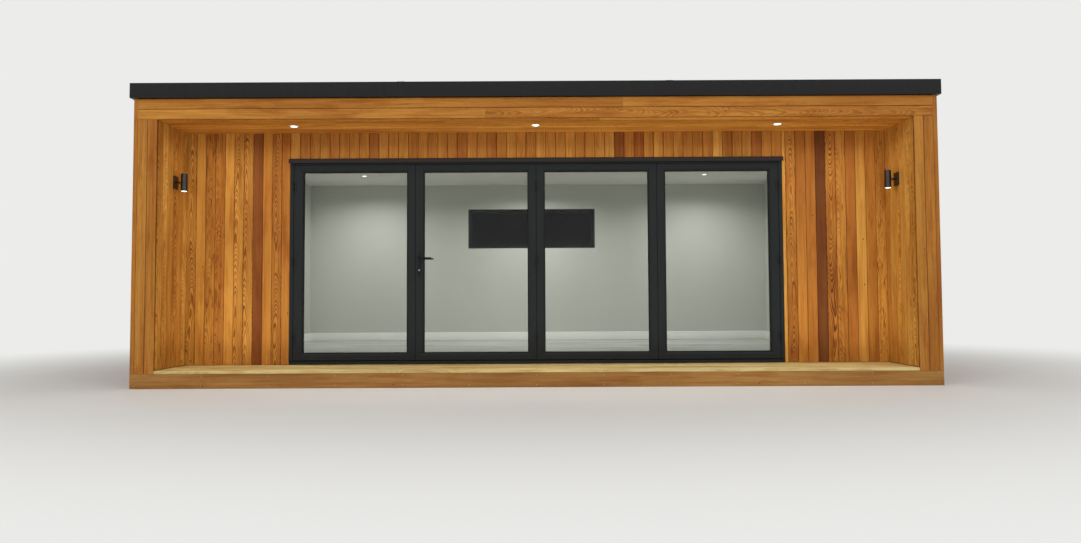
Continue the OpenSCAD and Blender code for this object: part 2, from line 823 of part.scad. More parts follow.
// Fixed frame, rebated for its glass, with a projecting sill on the outside and a dark
// lining that runs from the frame to the room
module window_frame() {
    low = [win_x - win_w / 2, win_frame_y, win_z];
    high = [win_x + win_w / 2, win_frame_y + win_d, win_z + win_h];
    mid_y = win_frame_y + win_d / 2;
    face = [win_face, 0, win_face];
    reveal = [reveal_t, 0, reveal_t];
    rebate = [win_face - glass_lap - glass_gap, 0, win_face - glass_lap - glass_gap];
    color(anthracite) {
        difference() {
            slab([low.x, room_back, low.z], high);
            slab([low.x, room_back - 1, low.z] + reveal, [high.x, low.y, high.z] - reveal);
            slab(low + face - [0, 1, 0], high - face + [0, 1, 0]);
            slab([low.x, mid_y - win_glass_t / 2, low.z] + rebate,
                 [high.x, mid_y + win_glass_t / 2, high.z] - rebate);
        }
        slab([low.x, core_back, win_z - sill_t], [high.x, back_y + sill_out, win_z + eps]);
    }
}

module window_glass() {
    mid_y = win_frame_y + win_d / 2;
    edge = win_face - glass_lap;
    color("#3a4446", 0.6)
        slab([win_x - win_w / 2 + edge, mid_y - win_glass_t / 2, win_z + edge],
             [win_x + win_w / 2 - edge, mid_y + win_glass_t / 2, win_z + win_h - edge]);
}

// One up-and-down light: a tube, recessed for a lens at each end, on an arm in front of its box
module wall_light() {
    translate([open_x, wall_light_at, z_deck + wall_light_z]) {
        slab([-box_t, -box_w / 2, -box_h / 2], [0, box_w / 2, box_h / 2]);
        slab([-tube_axis, -arm_w / 2, -arm_w / 2], [-box_t + eps, arm_w / 2, arm_w / 2]);
        translate([-tube_axis, 0, -tube_len / 2]) difference() {
            cylinder(r = tube_r, h = tube_len);
            for (z = [-1, tube_len - tube_recess]) translate([0, 0, z])
                cylinder(r = tube_r - tube_wall, h = tube_recess + 1);
        }
    }
}

module wall_lights() {
    color("#b9bcbe") both_sides() wall_light();
}

// Recessed light: a ring with a set-back lens under the lining, and a body in its hole
module downlight(body_h) {
    difference() {
        translate([0, 0, -ring_t]) cylinder(r = ring_r, h = ring_t);
        translate([0, 0, -ring_t - 1]) cylinder(r = lens_r, h = lens_in + 1);
    }
    translate([0, 0, -eps]) cylinder(r = can_hole_r - can_gap, h = body_h + eps);
}

module porch_downlights() {
    color("white") for (i = [-1 : 1])
        translate([i * porch_light_pitch, porch_light_y, z_soffit]) downlight(clad_t);
}

module room_downlights() {
    color("white") for (i = [-1 : 1], y = room_light_rows)
        translate([room_light_x + i * room_light_pitch, y, z_ceiling]) downlight(lining_t);
}

base_frame();
plinth_boards();
floor_panel();
floor_finish();
porch_deck();
left_wall();
right_wall();
rear_wall_left();
rear_wall_right();
rear_wall_sill();
rear_wall_head();
front_wall_left();
front_wall_right();
front_wall_head();
side_cladding();
rear_cladding();
front_cladding();
cheek_linings();
soffit_lining();
surround_boards();
fascia();
corner_trims();
wall_lining();
ceiling();
skirting();
roof_rim();
roof_panel();
roof_membrane();
roof_edge_trim();
rear_gutter();
downpipe();
door_frame();
door_threshold();
head_flashing();
door_leaf_1();
door_leaf_2();
door_leaf_3();
door_leaf_4();
door_glass();
door_gaskets();
door_hinges();
door_handle();
window_frame();
window_glass();
wall_lights();
porch_downlights();
room_downlights();
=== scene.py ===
import math
import random

import bmesh
import bpy
from mathutils import Matrix, Vector


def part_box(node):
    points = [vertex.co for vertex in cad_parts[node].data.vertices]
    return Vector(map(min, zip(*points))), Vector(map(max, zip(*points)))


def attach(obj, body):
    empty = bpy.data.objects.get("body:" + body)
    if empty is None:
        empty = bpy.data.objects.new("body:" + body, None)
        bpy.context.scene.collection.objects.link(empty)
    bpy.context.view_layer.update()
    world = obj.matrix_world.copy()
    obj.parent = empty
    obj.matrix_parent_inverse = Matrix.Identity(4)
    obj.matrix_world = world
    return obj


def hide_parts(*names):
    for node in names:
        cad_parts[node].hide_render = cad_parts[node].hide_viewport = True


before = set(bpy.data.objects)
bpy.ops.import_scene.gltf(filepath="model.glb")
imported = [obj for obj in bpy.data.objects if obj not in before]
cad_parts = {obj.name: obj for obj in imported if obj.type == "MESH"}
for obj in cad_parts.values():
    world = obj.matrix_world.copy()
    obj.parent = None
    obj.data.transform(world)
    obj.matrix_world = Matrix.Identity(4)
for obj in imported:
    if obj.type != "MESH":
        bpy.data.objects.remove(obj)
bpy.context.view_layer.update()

# Base frame. Treated softwood bearers lie on the ground from front to rear, with joists
# over them under the porch. Sawn square and left rough, green-brown from the treatment.


def srgb(*tones):
    """A colour given from 0 to 255, as the numbers that a shader takes."""
    linear = [c / 3294.6 if c < 11 else ((c / 255 + 0.055) / 1.055) ** 2.4 for c in tones]
    return (*linear, 1.0)


def grey(value):
    return (value, value, value, 1.0)


def put(tree, kind, sockets=(), **settings):
    """Adds a node. Each socket takes a number, a colour or the output of another node."""
    node = tree.nodes.new("ShaderNode" + kind)
    for name, value in settings.items():
        setattr(node, name, value)
    for key, value in dict(sockets).items():
        if isinstance(value, bpy.types.NodeSocket):
            tree.links.new(value, node.inputs[key])
        else:
            node.inputs[key].default_value = value
    return node


def calc(tree, operation, *values):
    return put(tree, "Math", enumerate(values), operation=operation).outputs[0]


def stretch(tree, place, *scales):
    """Scales a place by its own number along each axis."""
    return put(tree, "VectorMath", {0: place, 1: scales}, operation="MULTIPLY").outputs[0]


def mix(tree, share, first, second, way="MIX"):
    sockets = {0: share, 6: first, 7: second}
    return put(tree, "Mix", sockets, data_type="RGBA", blend_type=way).outputs[2]


def tint(tree, share, colour, by):
    return mix(tree, share, colour, by, "MULTIPLY")


def remap(tree, value, low, high, to_low, to_high, **settings):
    sockets = enumerate((value, low, high, to_low, to_high))
    return put(tree, "MapRange", sockets, **settings).outputs[0]


def between(tree, value, low, high):
    """Spreads a noise, most of which lies from 0.3 to 0.7, between two numbers."""
    return remap(tree, value, 0.3, 0.7, low, high)


def noise(tree, place, scale, detail=2.0, **settings):
    """Soft random values. A scale of three numbers is one for each axis."""
    if isinstance(scale, tuple):
        place, scale = stretch(tree, place, *scale), 1.0
    sockets = {"Vector": place, "Scale": scale, "Detail": detail}
    return put(tree, "TexNoise", sockets, **settings).outputs[0]


def ramp(tree, value, *stops):
    """A colour for each value. A stop is a position and a colour."""
    node = put(tree, "ValToRGB", {0: value})
    while len(node.color_ramp.elements) < len(stops):
        node.color_ramp.elements.new(0.5)
    for element, (position, colour) in zip(node.color_ramp.elements, stops):
        element.position = position
        element.color = colour
    return node.outputs[0]


def object_place(tree):
    return put(tree, "TexCoord").outputs["Object"]


def new_group(name, *inputs):
    """A node group that turns its named inputs into a colour, a roughness and a height."""
    tree = bpy.data.node_groups.new(name, "ShaderNodeTree")
    for label, kind, value in inputs:
        socket = tree.interface.new_socket(label, in_out="INPUT", socket_type="NodeSocket" + kind)
        socket.default_value = value
    for label, kind in (("Color", "Color"), ("Roughness", "Float"), ("Height", "Float")):
        tree.interface.new_socket(label, in_out="OUTPUT", socket_type="NodeSocket" + kind)
    return tree, tree.nodes.new("NodeGroupInput").outputs


def end_group(tree, *results):
    """Hands out the group's colour, roughness and height."""
    for result, end in zip(results, tree.nodes.new("NodeGroupOutput").inputs):
        tree.links.new(result, end)


def new_finish(name):
    finish = bpy.data.materials.new(name)
    finish.use_nodes = True
    finish.node_tree.nodes.clear()
    return finish, finish.node_tree


def surface(tree, colour, rough, height, depth, extra=()):
    """Ends a finish with its shader. Height from 0 to 1 stands for the depth in metres."""
    bump = put(tree, "Bump", {"Height": height, "Distance": depth}).outputs[0]
    sockets = {"Base Color": colour, "Roughness": rough, "Normal": bump, **dict(extra)}
    shader = put(tree, "BsdfPrincipled", sockets).outputs[0]
    put(tree, "OutputMaterial", {"Surface": shader})


def group_surface(tree, group, sockets, depth, extra=()):
    """Ends a finish with what a group makes."""
    made = put(tree, "Group", sockets, node_tree=group).outputs
    surface(tree, made["Color"], made["Roughness"], made["Height"], depth, extra)


def dress(finish, *names):
    """Gives a finish to nodes that keep their own mesh."""
    for name in names:
        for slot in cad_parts[name].material_slots:
            slot.material = finish


# Wood as it comes off the saw. Place runs across the board, along the grain and away from
# the heart of the log, so arches and straight lines both come from where the board was cut.
timber, given = new_group(
    "Timber", ("Place", "Vector", (0, 0, 0)), ("Board colour", "Color", srgb(190, 125, 60)),
    ("Rings", "Float", 0.5), ("Dashes", "Float", 0.2), ("Joint shade", "Float", 0.0),
    ("Ring pitch", "Float", 0.004), ("Knots", "Float", 0.1), ("Figure", "Float", 1.0))
place, board_colour = given["Place"], given["Board colour"]
wander = noise(timber, place, (2.6, 1.3, 2.6), normalize=False)
sway = noise(timber, place, (3.1, 0.9, 3.1), normalize=False).node.outputs[1]
bent = put(timber, "VectorMath", {0: sway, 1: (0.03, 0, 0.02), 2: place},
           operation="MULTIPLY_ADD").outputs[0]
radius = put(timber, "VectorMath", {0: stretch(timber, bent, 1, 0, 1)},
             operation="LENGTH").outputs["Value"]
height_up = put(timber, "SeparateXYZ", {0: place}).outputs[1]
ripple = noise(timber, place, (22, 5, 22), normalize=False)
cells = put(timber, "TexVoronoi", {"Vector": stretch(timber, place, 7.0, 3.6, 1), "Scale": 1.0},
            voronoi_dimensions="2D").outputs
chance = put(timber, "SeparateColor", {0: cells["Color"]}).outputs[0]
has_knot = calc(timber, "GREATER_THAN", given["Knots"], chance)
knot = calc(timber, "MULTIPLY", has_knot, remap(timber, cells["Distance"], 0.012, 0.05, 1, 0))
near = calc(timber, "POWER", remap(timber, cells["Distance"], 0.0, 0.3, 1, 0), 2.0)
swell = calc(timber, "MULTIPLY", calc(timber, "MULTIPLY", near, has_knot), 0.012)
ring = calc(timber, "MULTIPLY_ADD", height_up, 0.042, radius)
ring = calc(timber, "MULTIPLY_ADD", ripple, 0.0022, ring)
ring = calc(timber, "MULTIPLY_ADD", wander, 0.014, ring)
ring = calc(timber, "DIVIDE", calc(timber, "ADD", ring, swell), given["Ring pitch"])
year = put(timber, "TexWhiteNoise", {"W": calc(timber, "FLOOR", ring)},
           noise_dimensions="1D").outputs["Value"]
late = ramp(timber, calc(timber, "FRACT", ring), (0.0, grey(0.35)), (0.12, grey(0)),
            (0.40, grey(0.05)), (0.68, grey(0.9)), (0.92, grey(1)), (1.0, grey(0.35)))
late = calc(timber, "MULTIPLY", late, remap(timber, year, 0, 1, 0.4, 1))
late = calc(timber, "MULTIPLY", late, given["Rings"])
streak = noise(timber, place, (48, 1.5, 48))
cloud = noise(timber, place, (11, 2.6, 11), 3.0)
fibre = noise(timber, place, (750, 11, 750))
drift = noise(timber, place, (3.5, 0.6, 3.5), 1.0)
dash = noise(timber, place, (105, 7.5, 105), 1.0)
dash = calc(timber, "MULTIPLY", remap(timber, dash, 0.6, 0.72, 0, 1), given["Dashes"])
colour = tint(timber, 1.0, board_colour, ramp(
    timber, drift, (0.3, (0.78, 0.68, 0.58, 1)), (0.5, grey(1)), (0.7, (1.14, 1.18, 1.2, 1))))
for share, by in ((remap(timber, streak, 0.42, 0.72, 0, 0.9), (0.76, 0.62, 0.46, 1)),
                  (remap(timber, cloud, 0.5, 0.72, 0, 0.75), (0.72, 0.53, 0.36, 1)),
                  (late, (0.26, 0.15, 0.09, 1)), (dash, (0.36, 0.22, 0.14, 1)),
                  (1.0, between(timber, fibre, 0.92, 1.08))):
    colour = tint(timber, share, colour, by)
colour = mix(timber, knot, colour, srgb(82, 44, 22))
colour = mix(timber, given["Figure"], board_colour, colour)
# Painted shade: boards are darkened along their sides and in the lower part of each V, where the
# joints are.
colour = tint(timber, calc(timber, "MULTIPLY", given["Joint shade"], 0.8), colour, (0.3, 0.24, 0.2, 1))
end_group(timber, colour, between(timber, fibre, 0.5, 0.66),
          calc(timber, "SUBTRACT", fibre, calc(timber, "MULTIPLY", late, 0.5)))

treated_wood, tree = new_finish("Treated timber")
place = object_place(tree)
tones = (0.35, srgb(150, 132, 88)), (0.65, srgb(126, 112, 72))
group_surface(tree, timber, {
    "Place": place, "Board colour": ramp(tree, noise(tree, place, 1.4, 1.0), *tones),
    "Ring pitch": 0.006}, 0.0012)
dress(treated_wood, "base_frame")

# Plinth boards. Planed softwood boards on edge close the base on all four sides. The front
# one is the riser under the porch. Their top edges are eased, and they are face-screwed.
X, Y, Z = Vector((1, 0, 0)), Vector((0, 1, 0)), Vector((0, 0, 1))


def timber_finish(name, *tones, pitch=0.004, knots=0.1, depth=0.0006, figure=1.0):
    """A finish for boards, which reads each board's own place and look from its mesh."""
    finish, tree = new_finish(name)

    def mark(label, output):
        return put(tree, "Attribute", attribute_name=label).outputs[output]

    tone, rings, dashes = put(tree, "SeparateXYZ", {0: mark("look", "Vector")}).outputs
    stops = [(position, srgb(*colour)) for position, *colour in tones]
    group_surface(tree, timber, {
        "Place": mark("place", "Vector"), "Board colour": ramp(tree, tone, *stops),
        "Rings": rings, "Dashes": dashes, "Joint shade": mark("joint", "Fac"), "Ring pitch": pitch,
        "Knots": knots, "Figure": figure}, depth, {"Specular IOR Level": 0.25})
    return finish


def new_boards():
    bm = bmesh.new()
    bm.verts.layers.float_vector.new("place")
    bm.verts.layers.float_vector.new("look")
    bm.verts.layers.float.new("joint")
    return bm


def board_section(width, thick, vee):
    """A board's section, with a V along each face edge. The third number is the painted joint
    shade, which darkens the board's sides and the lower part of each V.
    """
    return [(0, 0, 1), (width, 0, 1), (width, thick - vee, 1), (width - vee, thick, 0),
            (vee, thick, 0), (0, thick - vee, 1)]


def only(kind, geometry):
    return [thing for thing in geometry if isinstance(thing, kind)]


def lay_board(bm, corner, along, across, out, section, length, look, cut):
    """Draws a section out along the grain. Cut says where in its log the board was sawn."""
    layers = bm.verts.layers.float_vector
    places, looks, joints = layers["place"], layers["look"], bm.verts.layers.float["joint"]
    row = []
    for a, o, joint in section:
        vert = bm.verts.new(Vector(corner) + across * a + out * o)
        vert[places] = Vector((a + cut[0], cut[2], o + cut[1]))
        vert[looks] = Vector(look)
        # Painted shade in the joints, from the section's third number.
        vert[joints] = joint
        row.append(vert)
    grown = bmesh.ops.extrude_face_region(bm, geom=[bm.faces.new(row)])["geom"]
    for vert in only(bmesh.types.BMVert, grown):
        vert.co += along * length
        vert[places] = vert[places] + Vector((0, length * cut[3], 0))


def new_object(name, data):
    """Adds an object to the scene."""
    thing = bpy.data.objects.new(name, data)
    bpy.context.scene.collection.objects.link(thing)
    return thing


def new_mesh(name, bm, finish):
    mesh = bpy.data.meshes.new(name)
    bm.to_mesh(mesh)
    bm.free()
    mesh.materials.append(finish)
    return mesh


def add_piece(name, bm, finish, slot, *nodes, turn=35):
    """Makes the piece, which rides with the pod and stands for the nodes that it names."""
    bmesh.ops.recalc_face_normals(bm, faces=bm.faces)
    mesh = new_mesh(name, bm, finish)
    mesh.shade_smooth()
    mesh.set_sharp_from_angle(angle=math.radians(turn))
    piece = new_object(name, mesh)
    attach(piece, "root")
    if nodes:
        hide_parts(*nodes)


deck_wood = timber_finish(
    "Deck and plinth timber", (0.0, 233, 217, 158), (0.4, 220, 198, 130), (0.7, 188, 142, 78),
    (1.0, 160, 110, 56), pitch=0.005)
plinth_low, plinth_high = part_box("plinth_boards")
plinth_t, plinth_ease, hairline = 0.020, 0.003, 0.0008
front_split, rear_split, side_l = 4.8, 3.0, 4.858
left, right, side_y = plinth_low.x, plinth_high.x, plinth_low.y + plinth_t + 0.001
dice = random.Random(11)
bm = new_boards()
section = board_section(plinth_high.z - plinth_low.z, plinth_t, plinth_ease)
for x, y, along, out, lengths in (
        (left, plinth_low.y + plinth_t, X, -Y, (front_split, right - left - front_split)),
        (left, plinth_high.y - plinth_t, X, Y, (rear_split, right - left - rear_split)),
        (left + plinth_t, side_y, Y, -X, (side_l,)), (right - plinth_t, side_y, Y, X, (side_l,))):
    start = Vector((x, y, plinth_low.z))
    for length in lengths:
        cut = (dice.uniform(0.06, 0.2), 0.05, dice.uniform(0, 50), 1)
        look = (dice.uniform(0.72, 0.86), dice.uniform(0.3, 0.5), 0.2)
        lay_board(bm, start, along, Z, out, section, length - hairline, look, cut)
        start += along * length
add_piece("plinth_planks", bm, deck_wood, "deck_timber", "plinth_boards")

# Panels. The floor, walls and roof are insulated panels faced with boards of pressed wood
# flakes, fixed edge to edge. They are covered on both sides once the pod is finished.
panel_finish, tree = new_finish("Flake board")
place = stretch(tree, object_place(tree), 30, 46, 38)
flakes = put(tree, "TexVoronoi", {"Vector": place, "Scale": 1.0}).outputs
shade = put(tree, "SeparateColor", {0: flakes["Color"]}).outputs[0]
colour = ramp(tree, shade, (0.0, srgb(158, 122, 76)), (0.4, srgb(196, 162, 108)),
              (1.0, srgb(224, 196, 144)))
edge = remap(tree, flakes["Distance"], 0.35, 0.6, 0, 0.35)
surface(tree, mix(tree, edge, colour, srgb(128, 94, 56)), remap(tree, shade, 0, 1, 0.6, 0.8),
        shade, 0.0006)
dress(panel_finish, "floor_panel", "left_wall", "right_wall", "rear_wall_left", "rear_wall_right",
      "rear_wall_sill", "rear_wall_head", "front_wall_left", "front_wall_right",
      "front_wall_head", "roof_rim", "roof_panel")

# Laminate floor. Pale planks with a fine V along each joint, clicked together over an
# underlay. They run across the room and are carried through the doorway.
laminate = timber_finish("Laminate", (0.0, 196, 198, 193), (0.5, 184, 186, 180),
                         (1.0, 168, 170, 164), pitch=0.007, knots=0.0, depth=0.0002, figure=0.25)
floor_low, floor_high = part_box("floor_finish")
skirting_low, skirting_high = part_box("skirting")
sill_low, sill_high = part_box("door_threshold")
plank_w, plank_l, plank_vee = 0.192, 1.285, 0.001
offcuts, least = (0.33, 0.5, 0.66, 0.85), 0.001
dice = random.Random(23)
bm = new_boards()


def any_board(dice, width):
    """Picks a board from the pile: its look, and whether it shows arches or straight grain."""
    is_dark = dice.random() < 0.08
    tone = dice.uniform(0.72, 0.95) if is_dark else min(0.8, max(0.05, dice.gauss(0.42, 0.14)))
    kind, way = dice.random(), dice.choice((-1, 1))
    if kind < 0.35:
        look = tone, dice.uniform(0.6, 1.0), 0.2
        heart = -width / 2 + dice.uniform(-0.02, 0.02), dice.uniform(0.07, 0.12)
    elif kind < 0.6:
        look = tone, dice.uniform(0.5, 0.9), 0.5
        heart = dice.choice((0.02, -0.12)), dice.uniform(0.05, 0.1)
    else:
        look = tone, dice.uniform(0.15, 0.5), dice.random()
        heart = dice.uniform(0.15, 0.3), 0.03
    return look, (*heart, dice.uniform(0, 50), way)


def lay_planks(x_low, x_high, y_low, y_high):
    """Rows of planks over one rectangle of floor, each row starting with an offcut."""
    y = y_low
    while y < y_high - least:
        width = min(plank_w, y_high - y)
        section = board_section(width, floor_high.z - floor_low.z, plank_vee)
        x, length = x_low, plank_l * dice.choice(offcuts)
        while x < x_high - least:
            length = min(length, x_high - x)
            (tone, rings, dashes), cut = any_board(dice, width)
            lay_board(bm, (x, y, floor_low.z), X, Y, Z, section, length,
                      (tone, rings * 0.4, dashes * 0.3), cut)
            x, length = x + length, plank_l
        y += width


lay_planks(floor_low.x, floor_high.x, skirting_low.y, floor_high.y)
lay_planks(sill_low.x, sill_high.x, sill_high.y, skirting_low.y)
add_piece("floor_planks", bm, laminate, "laminate", "floor_finish")

# Porch deck. Five smooth deck boards run the width of the porch with narrow gaps between
# them, screwed down in pairs to each joist with small countersunk steel screws.
deck_low, deck_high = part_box("porch_deck")
deck_gap, deck_ease, deck_butt = 0.004, 0.003, 0.001
deck_splits = (4.2, 2.4, 3.6, 4.8, 3.0)
deck_w = (deck_high.y - deck_low.y + deck_gap) / len(deck_splits)
dice = random.Random(5)
bm = new_boards()
for row, split in enumerate(deck_splits):
    start = deck_low + Y * deck_w * row
    # The front edge of the first board shows, so it takes none of the painted joint shade.
    section = [(a, o, joint if row or a > 0.01 else 0) for a, o, joint in board_section(
        deck_w - deck_gap, deck_high.z - deck_low.z, deck_ease)]
    for length in (split, deck_high.x - deck_low.x - split):
        look, cut = any_board(dice, deck_w)
        lay_board(bm, start, X, Y, Z, section, length - deck_butt, (look[0] * 0.45, 0.3, 0.15), cut)
        start += X * length
add_piece("deck_planks", bm, deck_wood, "deck_timber", "porch_deck")


def mm(*points):
    """Turns points in millimetres into metres."""
    return [tuple(number / 1000 for number in point) for point in points]


def turned(bm, profile, centre, axis=Z, steps=32):
    """Spins a profile of radius and height about an axis, as on a lathe."""
    centre, side = Vector(centre), axis.orthogonal().normalized()
    verts = [bm.verts.new(centre + side * r + axis * h) for r, h in profile]
    edges = [bm.edges.new(pair) for pair in zip(verts, verts[1:])]
    bmesh.ops.spin(bm, geom=verts + edges, cent=centre, axis=axis, angle=2 * math.pi,
                   steps=steps, use_merge=True)


def weld(bm):
    """Merges points that meet, and closes what is still open."""
    bmesh.ops.remove_doubles(bm, verts=bm.verts, dist=0.00001)
    bmesh.ops.holes_fill(bm, edges=[e for e in bm.edges if e.is_boundary])


def plain_finish(name, first, second, blotch, grain, rough, depth, extra=()):
    """A finish that drifts between two colours, with a fine grain in its gloss and relief."""
    finish, tree = new_finish(name)
    place = object_place(tree)
    fine = noise(tree, place, grain)
    colour = mix(tree, noise(tree, place, blotch), srgb(*first), srgb(*second))
    surface(tree, colour, between(tree, fine, *rough), fine, depth, extra)
    return finish


def screw(bm, spot, out):
    """A countersunk head with the recess for its driver, driven flush with the wood."""
    turned(bm, mm((0, -2), (1.6, -1.8), (1.8, 0), (4.2, 0.2), (4.4, -0.4), (4.4, -1.4),
                  (0, -3.4)), spot, out, 10)


satin_steel = plain_finish("Satin steel", (168, 169, 170), (196, 197, 198), 9.0, (900, 900, 14),
                           (0.22, 0.4), 0.00008, {"Metallic": 1.0})
bearer_low, bearer_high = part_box("base_frame")
bearer_w, bearers, screw_edge = 0.045, 13, 0.025
bearer_pitch = (bearer_high.x - bearer_low.x - bearer_w) / (bearers - 1)
bearer_x = [bearer_low.x + bearer_w / 2 + n * bearer_pitch for n in range(bearers)]
bm = bmesh.new()
for x in bearer_x[1:-1]:
    for row in range(len(deck_splits)):
        for across in (screw_edge, deck_w - deck_gap - screw_edge):
            screw(bm, (x, deck_low.y + deck_w * row + across, deck_high.z), Z)
weld(bm)
add_piece("deck_screws", bm, satin_steel, "satin_steel")

end_screws, end_inset, end_pitch = 9, 0.1, 0.58
bm = bmesh.new()
for z in (plinth_low.z + screw_edge, plinth_high.z - screw_edge):
    for y, out in ((plinth_low.y, -Y), (plinth_high.y, Y)):
        for x in bearer_x:
            screw(bm, (x, y, z), out)
    for x, out in ((plinth_low.x, -X), (plinth_high.x, X)):
        for n in range(end_screws):
            screw(bm, (x, plinth_low.y + end_inset + n * end_pitch, z), out)
weld(bm)
add_piece("plinth_screws", bm, satin_steel, "satin_steel")

# Side and rear cladding. Tongued and grooved cedar boards stand on end side by side, nailed
# through their tongues to battens. Each has a V along both edges, and the oil has aged a little.
cedar = timber_finish(
    "Cedar", (0.0, 234, 184, 92), (0.22, 218, 158, 70), (0.45, 198, 134, 54),
    (0.65, 176, 109, 42), (0.84, 146, 84, 32), (1.0, 98, 56, 22), knots=0.05)
clad_t, clad_vee, clad_gap = 0.020, 0.0035, 0.0015
tongue_low, tongue_high = 0.35 * clad_t, 0.6 * clad_t
side_low, side_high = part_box("side_cladding")
rear_low, rear_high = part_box("rear_cladding")
window_low, window_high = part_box("window_frame")
sill_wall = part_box("rear_wall_sill")[1]


def spaced(start, end, count):
    """The ends of equal steps from one place to another."""
    return [start + (end - start) * i / count for i in range(count + 1)]


def stand_boards(bm, corner, top, across, out, joints, chosen=None):
    """Stands boards side by side between joints, each with a tongue that closes its joint."""
    corner = Vector(corner)
    for i, (a, b) in enumerate(zip(joints, joints[1:])):
        width = b - a - clad_gap
        look, cut = chosen[i] if chosen else any_board(dice, width)
        sections = [board_section(width, clad_t, clad_vee)]
        if i < len(joints) - 2:
            sections.append([(width, tongue_low, 1), (width + clad_gap, tongue_low, 1),
                             (width + clad_gap, tongue_high, 1), (width, tongue_high, 1)])
        for section in sections:
            lay_board(bm, corner + across * (a + clad_gap / 2), Z, across, out, section,
                      top - corner.z, look, cut)


dice = random.Random(31)
bm = new_boards()
for x, out in ((side_high.x - clad_t, X), (side_low.x + clad_t, -X)):
    stand_boards(bm, (x, side_low.y, side_low.z), side_high.z, Y, out,
                 spaced(0, side_high.y - side_low.y, 48))
add_piece("side_boards", bm, cedar, "cedar", "side_cladding")

window_sill_t = 0.012
bm = new_boards()
for x_low, x_high, z_low, z_high, count in (
        (rear_low.x, window_low.x, rear_low.z, rear_high.z, 27),
        (window_low.x, window_high.x, rear_low.z, sill_wall.z - window_sill_t, 20),
        (window_low.x, window_high.x, window_high.z, rear_high.z, 20),
        (window_high.x, rear_high.x, rear_low.z, rear_high.z, 29)):
    stand_boards(bm, (x_low, rear_low.y, z_low), z_high, X, Y, spaced(0, x_high - x_low, count))
add_piece("rear_boards", bm, cedar, "cedar", "rear_cladding")

# Front cladding. The same boards line the wall of the porch beside and over the doors. The
# boards beside the doors are picked for their figure: dark and pale, arched and straight.
front_low, front_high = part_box("front_cladding")
flashing_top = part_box("head_flashing")[1].z
opening_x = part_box("door_frame")[1].x + 0.003
left_rip, right_rip = 0.087, 0.038
STRAIGHT, NARROW, LEANING = (0.22, 0.03, 1), (-0.03, 0.1, 1), (-0.015, 0.05, 1)
ARCHED, UPENDED = (-0.05, 0.055, 1), (-0.05, 0.055, -1)
left_boards = (
    (0.24, 1.0, 0.3, ARCHED), (0.28, 0.25, 0.1, STRAIGHT), (0.34, 0.5, 1.0, NARROW),
    (0.56, 0.5, 0.9, NARROW), (0.30, 0.2, 0.1, STRAIGHT), (0.34, 0.9, 0.2, LEANING),
    (0.30, 1.0, 0.2, LEANING), (0.86, 0.3, 0.2, STRAIGHT), (0.46, 0.2, 0.1, STRAIGHT),
    (0.48, 0.9, 0.2, ARCHED), (0.50, 0.2, 0.1, STRAIGHT))
right_boards = (
    (0.20, 0.3, 0.1, STRAIGHT), (0.44, 0.9, 0.6, ARCHED), (0.52, 0.2, 0.1, STRAIGHT),
    (0.54, 0.25, 0.1, STRAIGHT), (0.94, 0.3, 0.2, STRAIGHT), (0.44, 1.15, 0.1, UPENDED),
    (0.34, 0.5, 0.8, NARROW), (0.62, 0.25, 0.1, STRAIGHT), (0.16, 0.2, 0.1, STRAIGHT),
    (0.44, 0.3, 0.3, STRAIGHT), (0.22, 0.4, 1.0, NARROW))


def picked(boards):
    """Gives each picked board its own stretch of the log."""
    return [((tone, rings, dashes), (side, depth, dice.uniform(0, 50), way))
            for tone, rings, dashes, (side, depth, way) in boards]


def line_front(foot, joints, boards):
    stand_boards(bm, (0, front_high.y, foot), front_high.z, X, -Y, joints, picked(boards))


dice = random.Random(47)
bm = new_boards()
line_front(front_low.z, spaced(front_low.x, -opening_x - left_rip, 10) + [-opening_x], left_boards)
line_front(front_low.z, [opening_x] + spaced(opening_x + right_rip, front_high.x, 10), right_boards)
line_front(flashing_top, spaced(-opening_x, opening_x, 50),
           [(dice.gauss(0.42, 0.13), dice.uniform(0.2, 0.8), 0.3, STRAIGHT) for _ in range(50)])
add_piece("front_boards", bm, cedar, "cedar", "front_cladding")

# Cheeks and soffit. Upright boards line both sides of the porch, and boards run across its
# soffit with their butt joints staggered.
cheek_low, cheek_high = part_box("cheek_linings")
cheek_boards = 6
dice = random.Random(53)
bm = new_boards()
for x, out in ((cheek_low.x, X), (cheek_high.x, -X)):
    boards = [(dice.uniform(0.0, 0.3), dice.uniform(0.5, 1.0), 0.5,
               dice.choice((STRAIGHT, STRAIGHT, ARCHED, LEANING))) for _ in range(cheek_boards)]
    stand_boards(bm, (x, cheek_low.y, cheek_low.z), cheek_high.z, Y, out,
                 spaced(0, cheek_high.y - cheek_low.y, cheek_boards), picked(boards))
add_piece("cheek_boards", bm, cedar, "cedar", "cheek_linings")

soffit_low, soffit_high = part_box("soffit_lining")
soffit_splits = (4.2, 2.7, 3.9, 3.0, 4.5, 2.4)


def lay_lengths(corner, end, across, out, width, split, tones):
    """One row of boards along X, with a hairline at its butt joint."""
    start = Vector(corner)
    section = board_section(width - clad_gap, clad_t, clad_vee)
    for length in (split, end - start.x - split):
        look, cut = any_board(dice, width)
        look = (dice.uniform(*tones), look[1] * 0.7, look[2] * 0.5)
        lay_board(bm, start, X, across, out, section, length - hairline, look, cut)
        start += X * length


bm = new_boards()
soffit_w = (soffit_high.y - soffit_low.y) / len(soffit_splits)
for row, split in enumerate(soffit_splits):
    lay_lengths((soffit_low.x, soffit_low.y + soffit_w * row, soffit_low.z + clad_t),
                soffit_high.x, Y, -Z, soffit_w, split, (0.2, 0.5))
add_piece("soffit_boards", bm, cedar, "cedar", "soffit_lining")

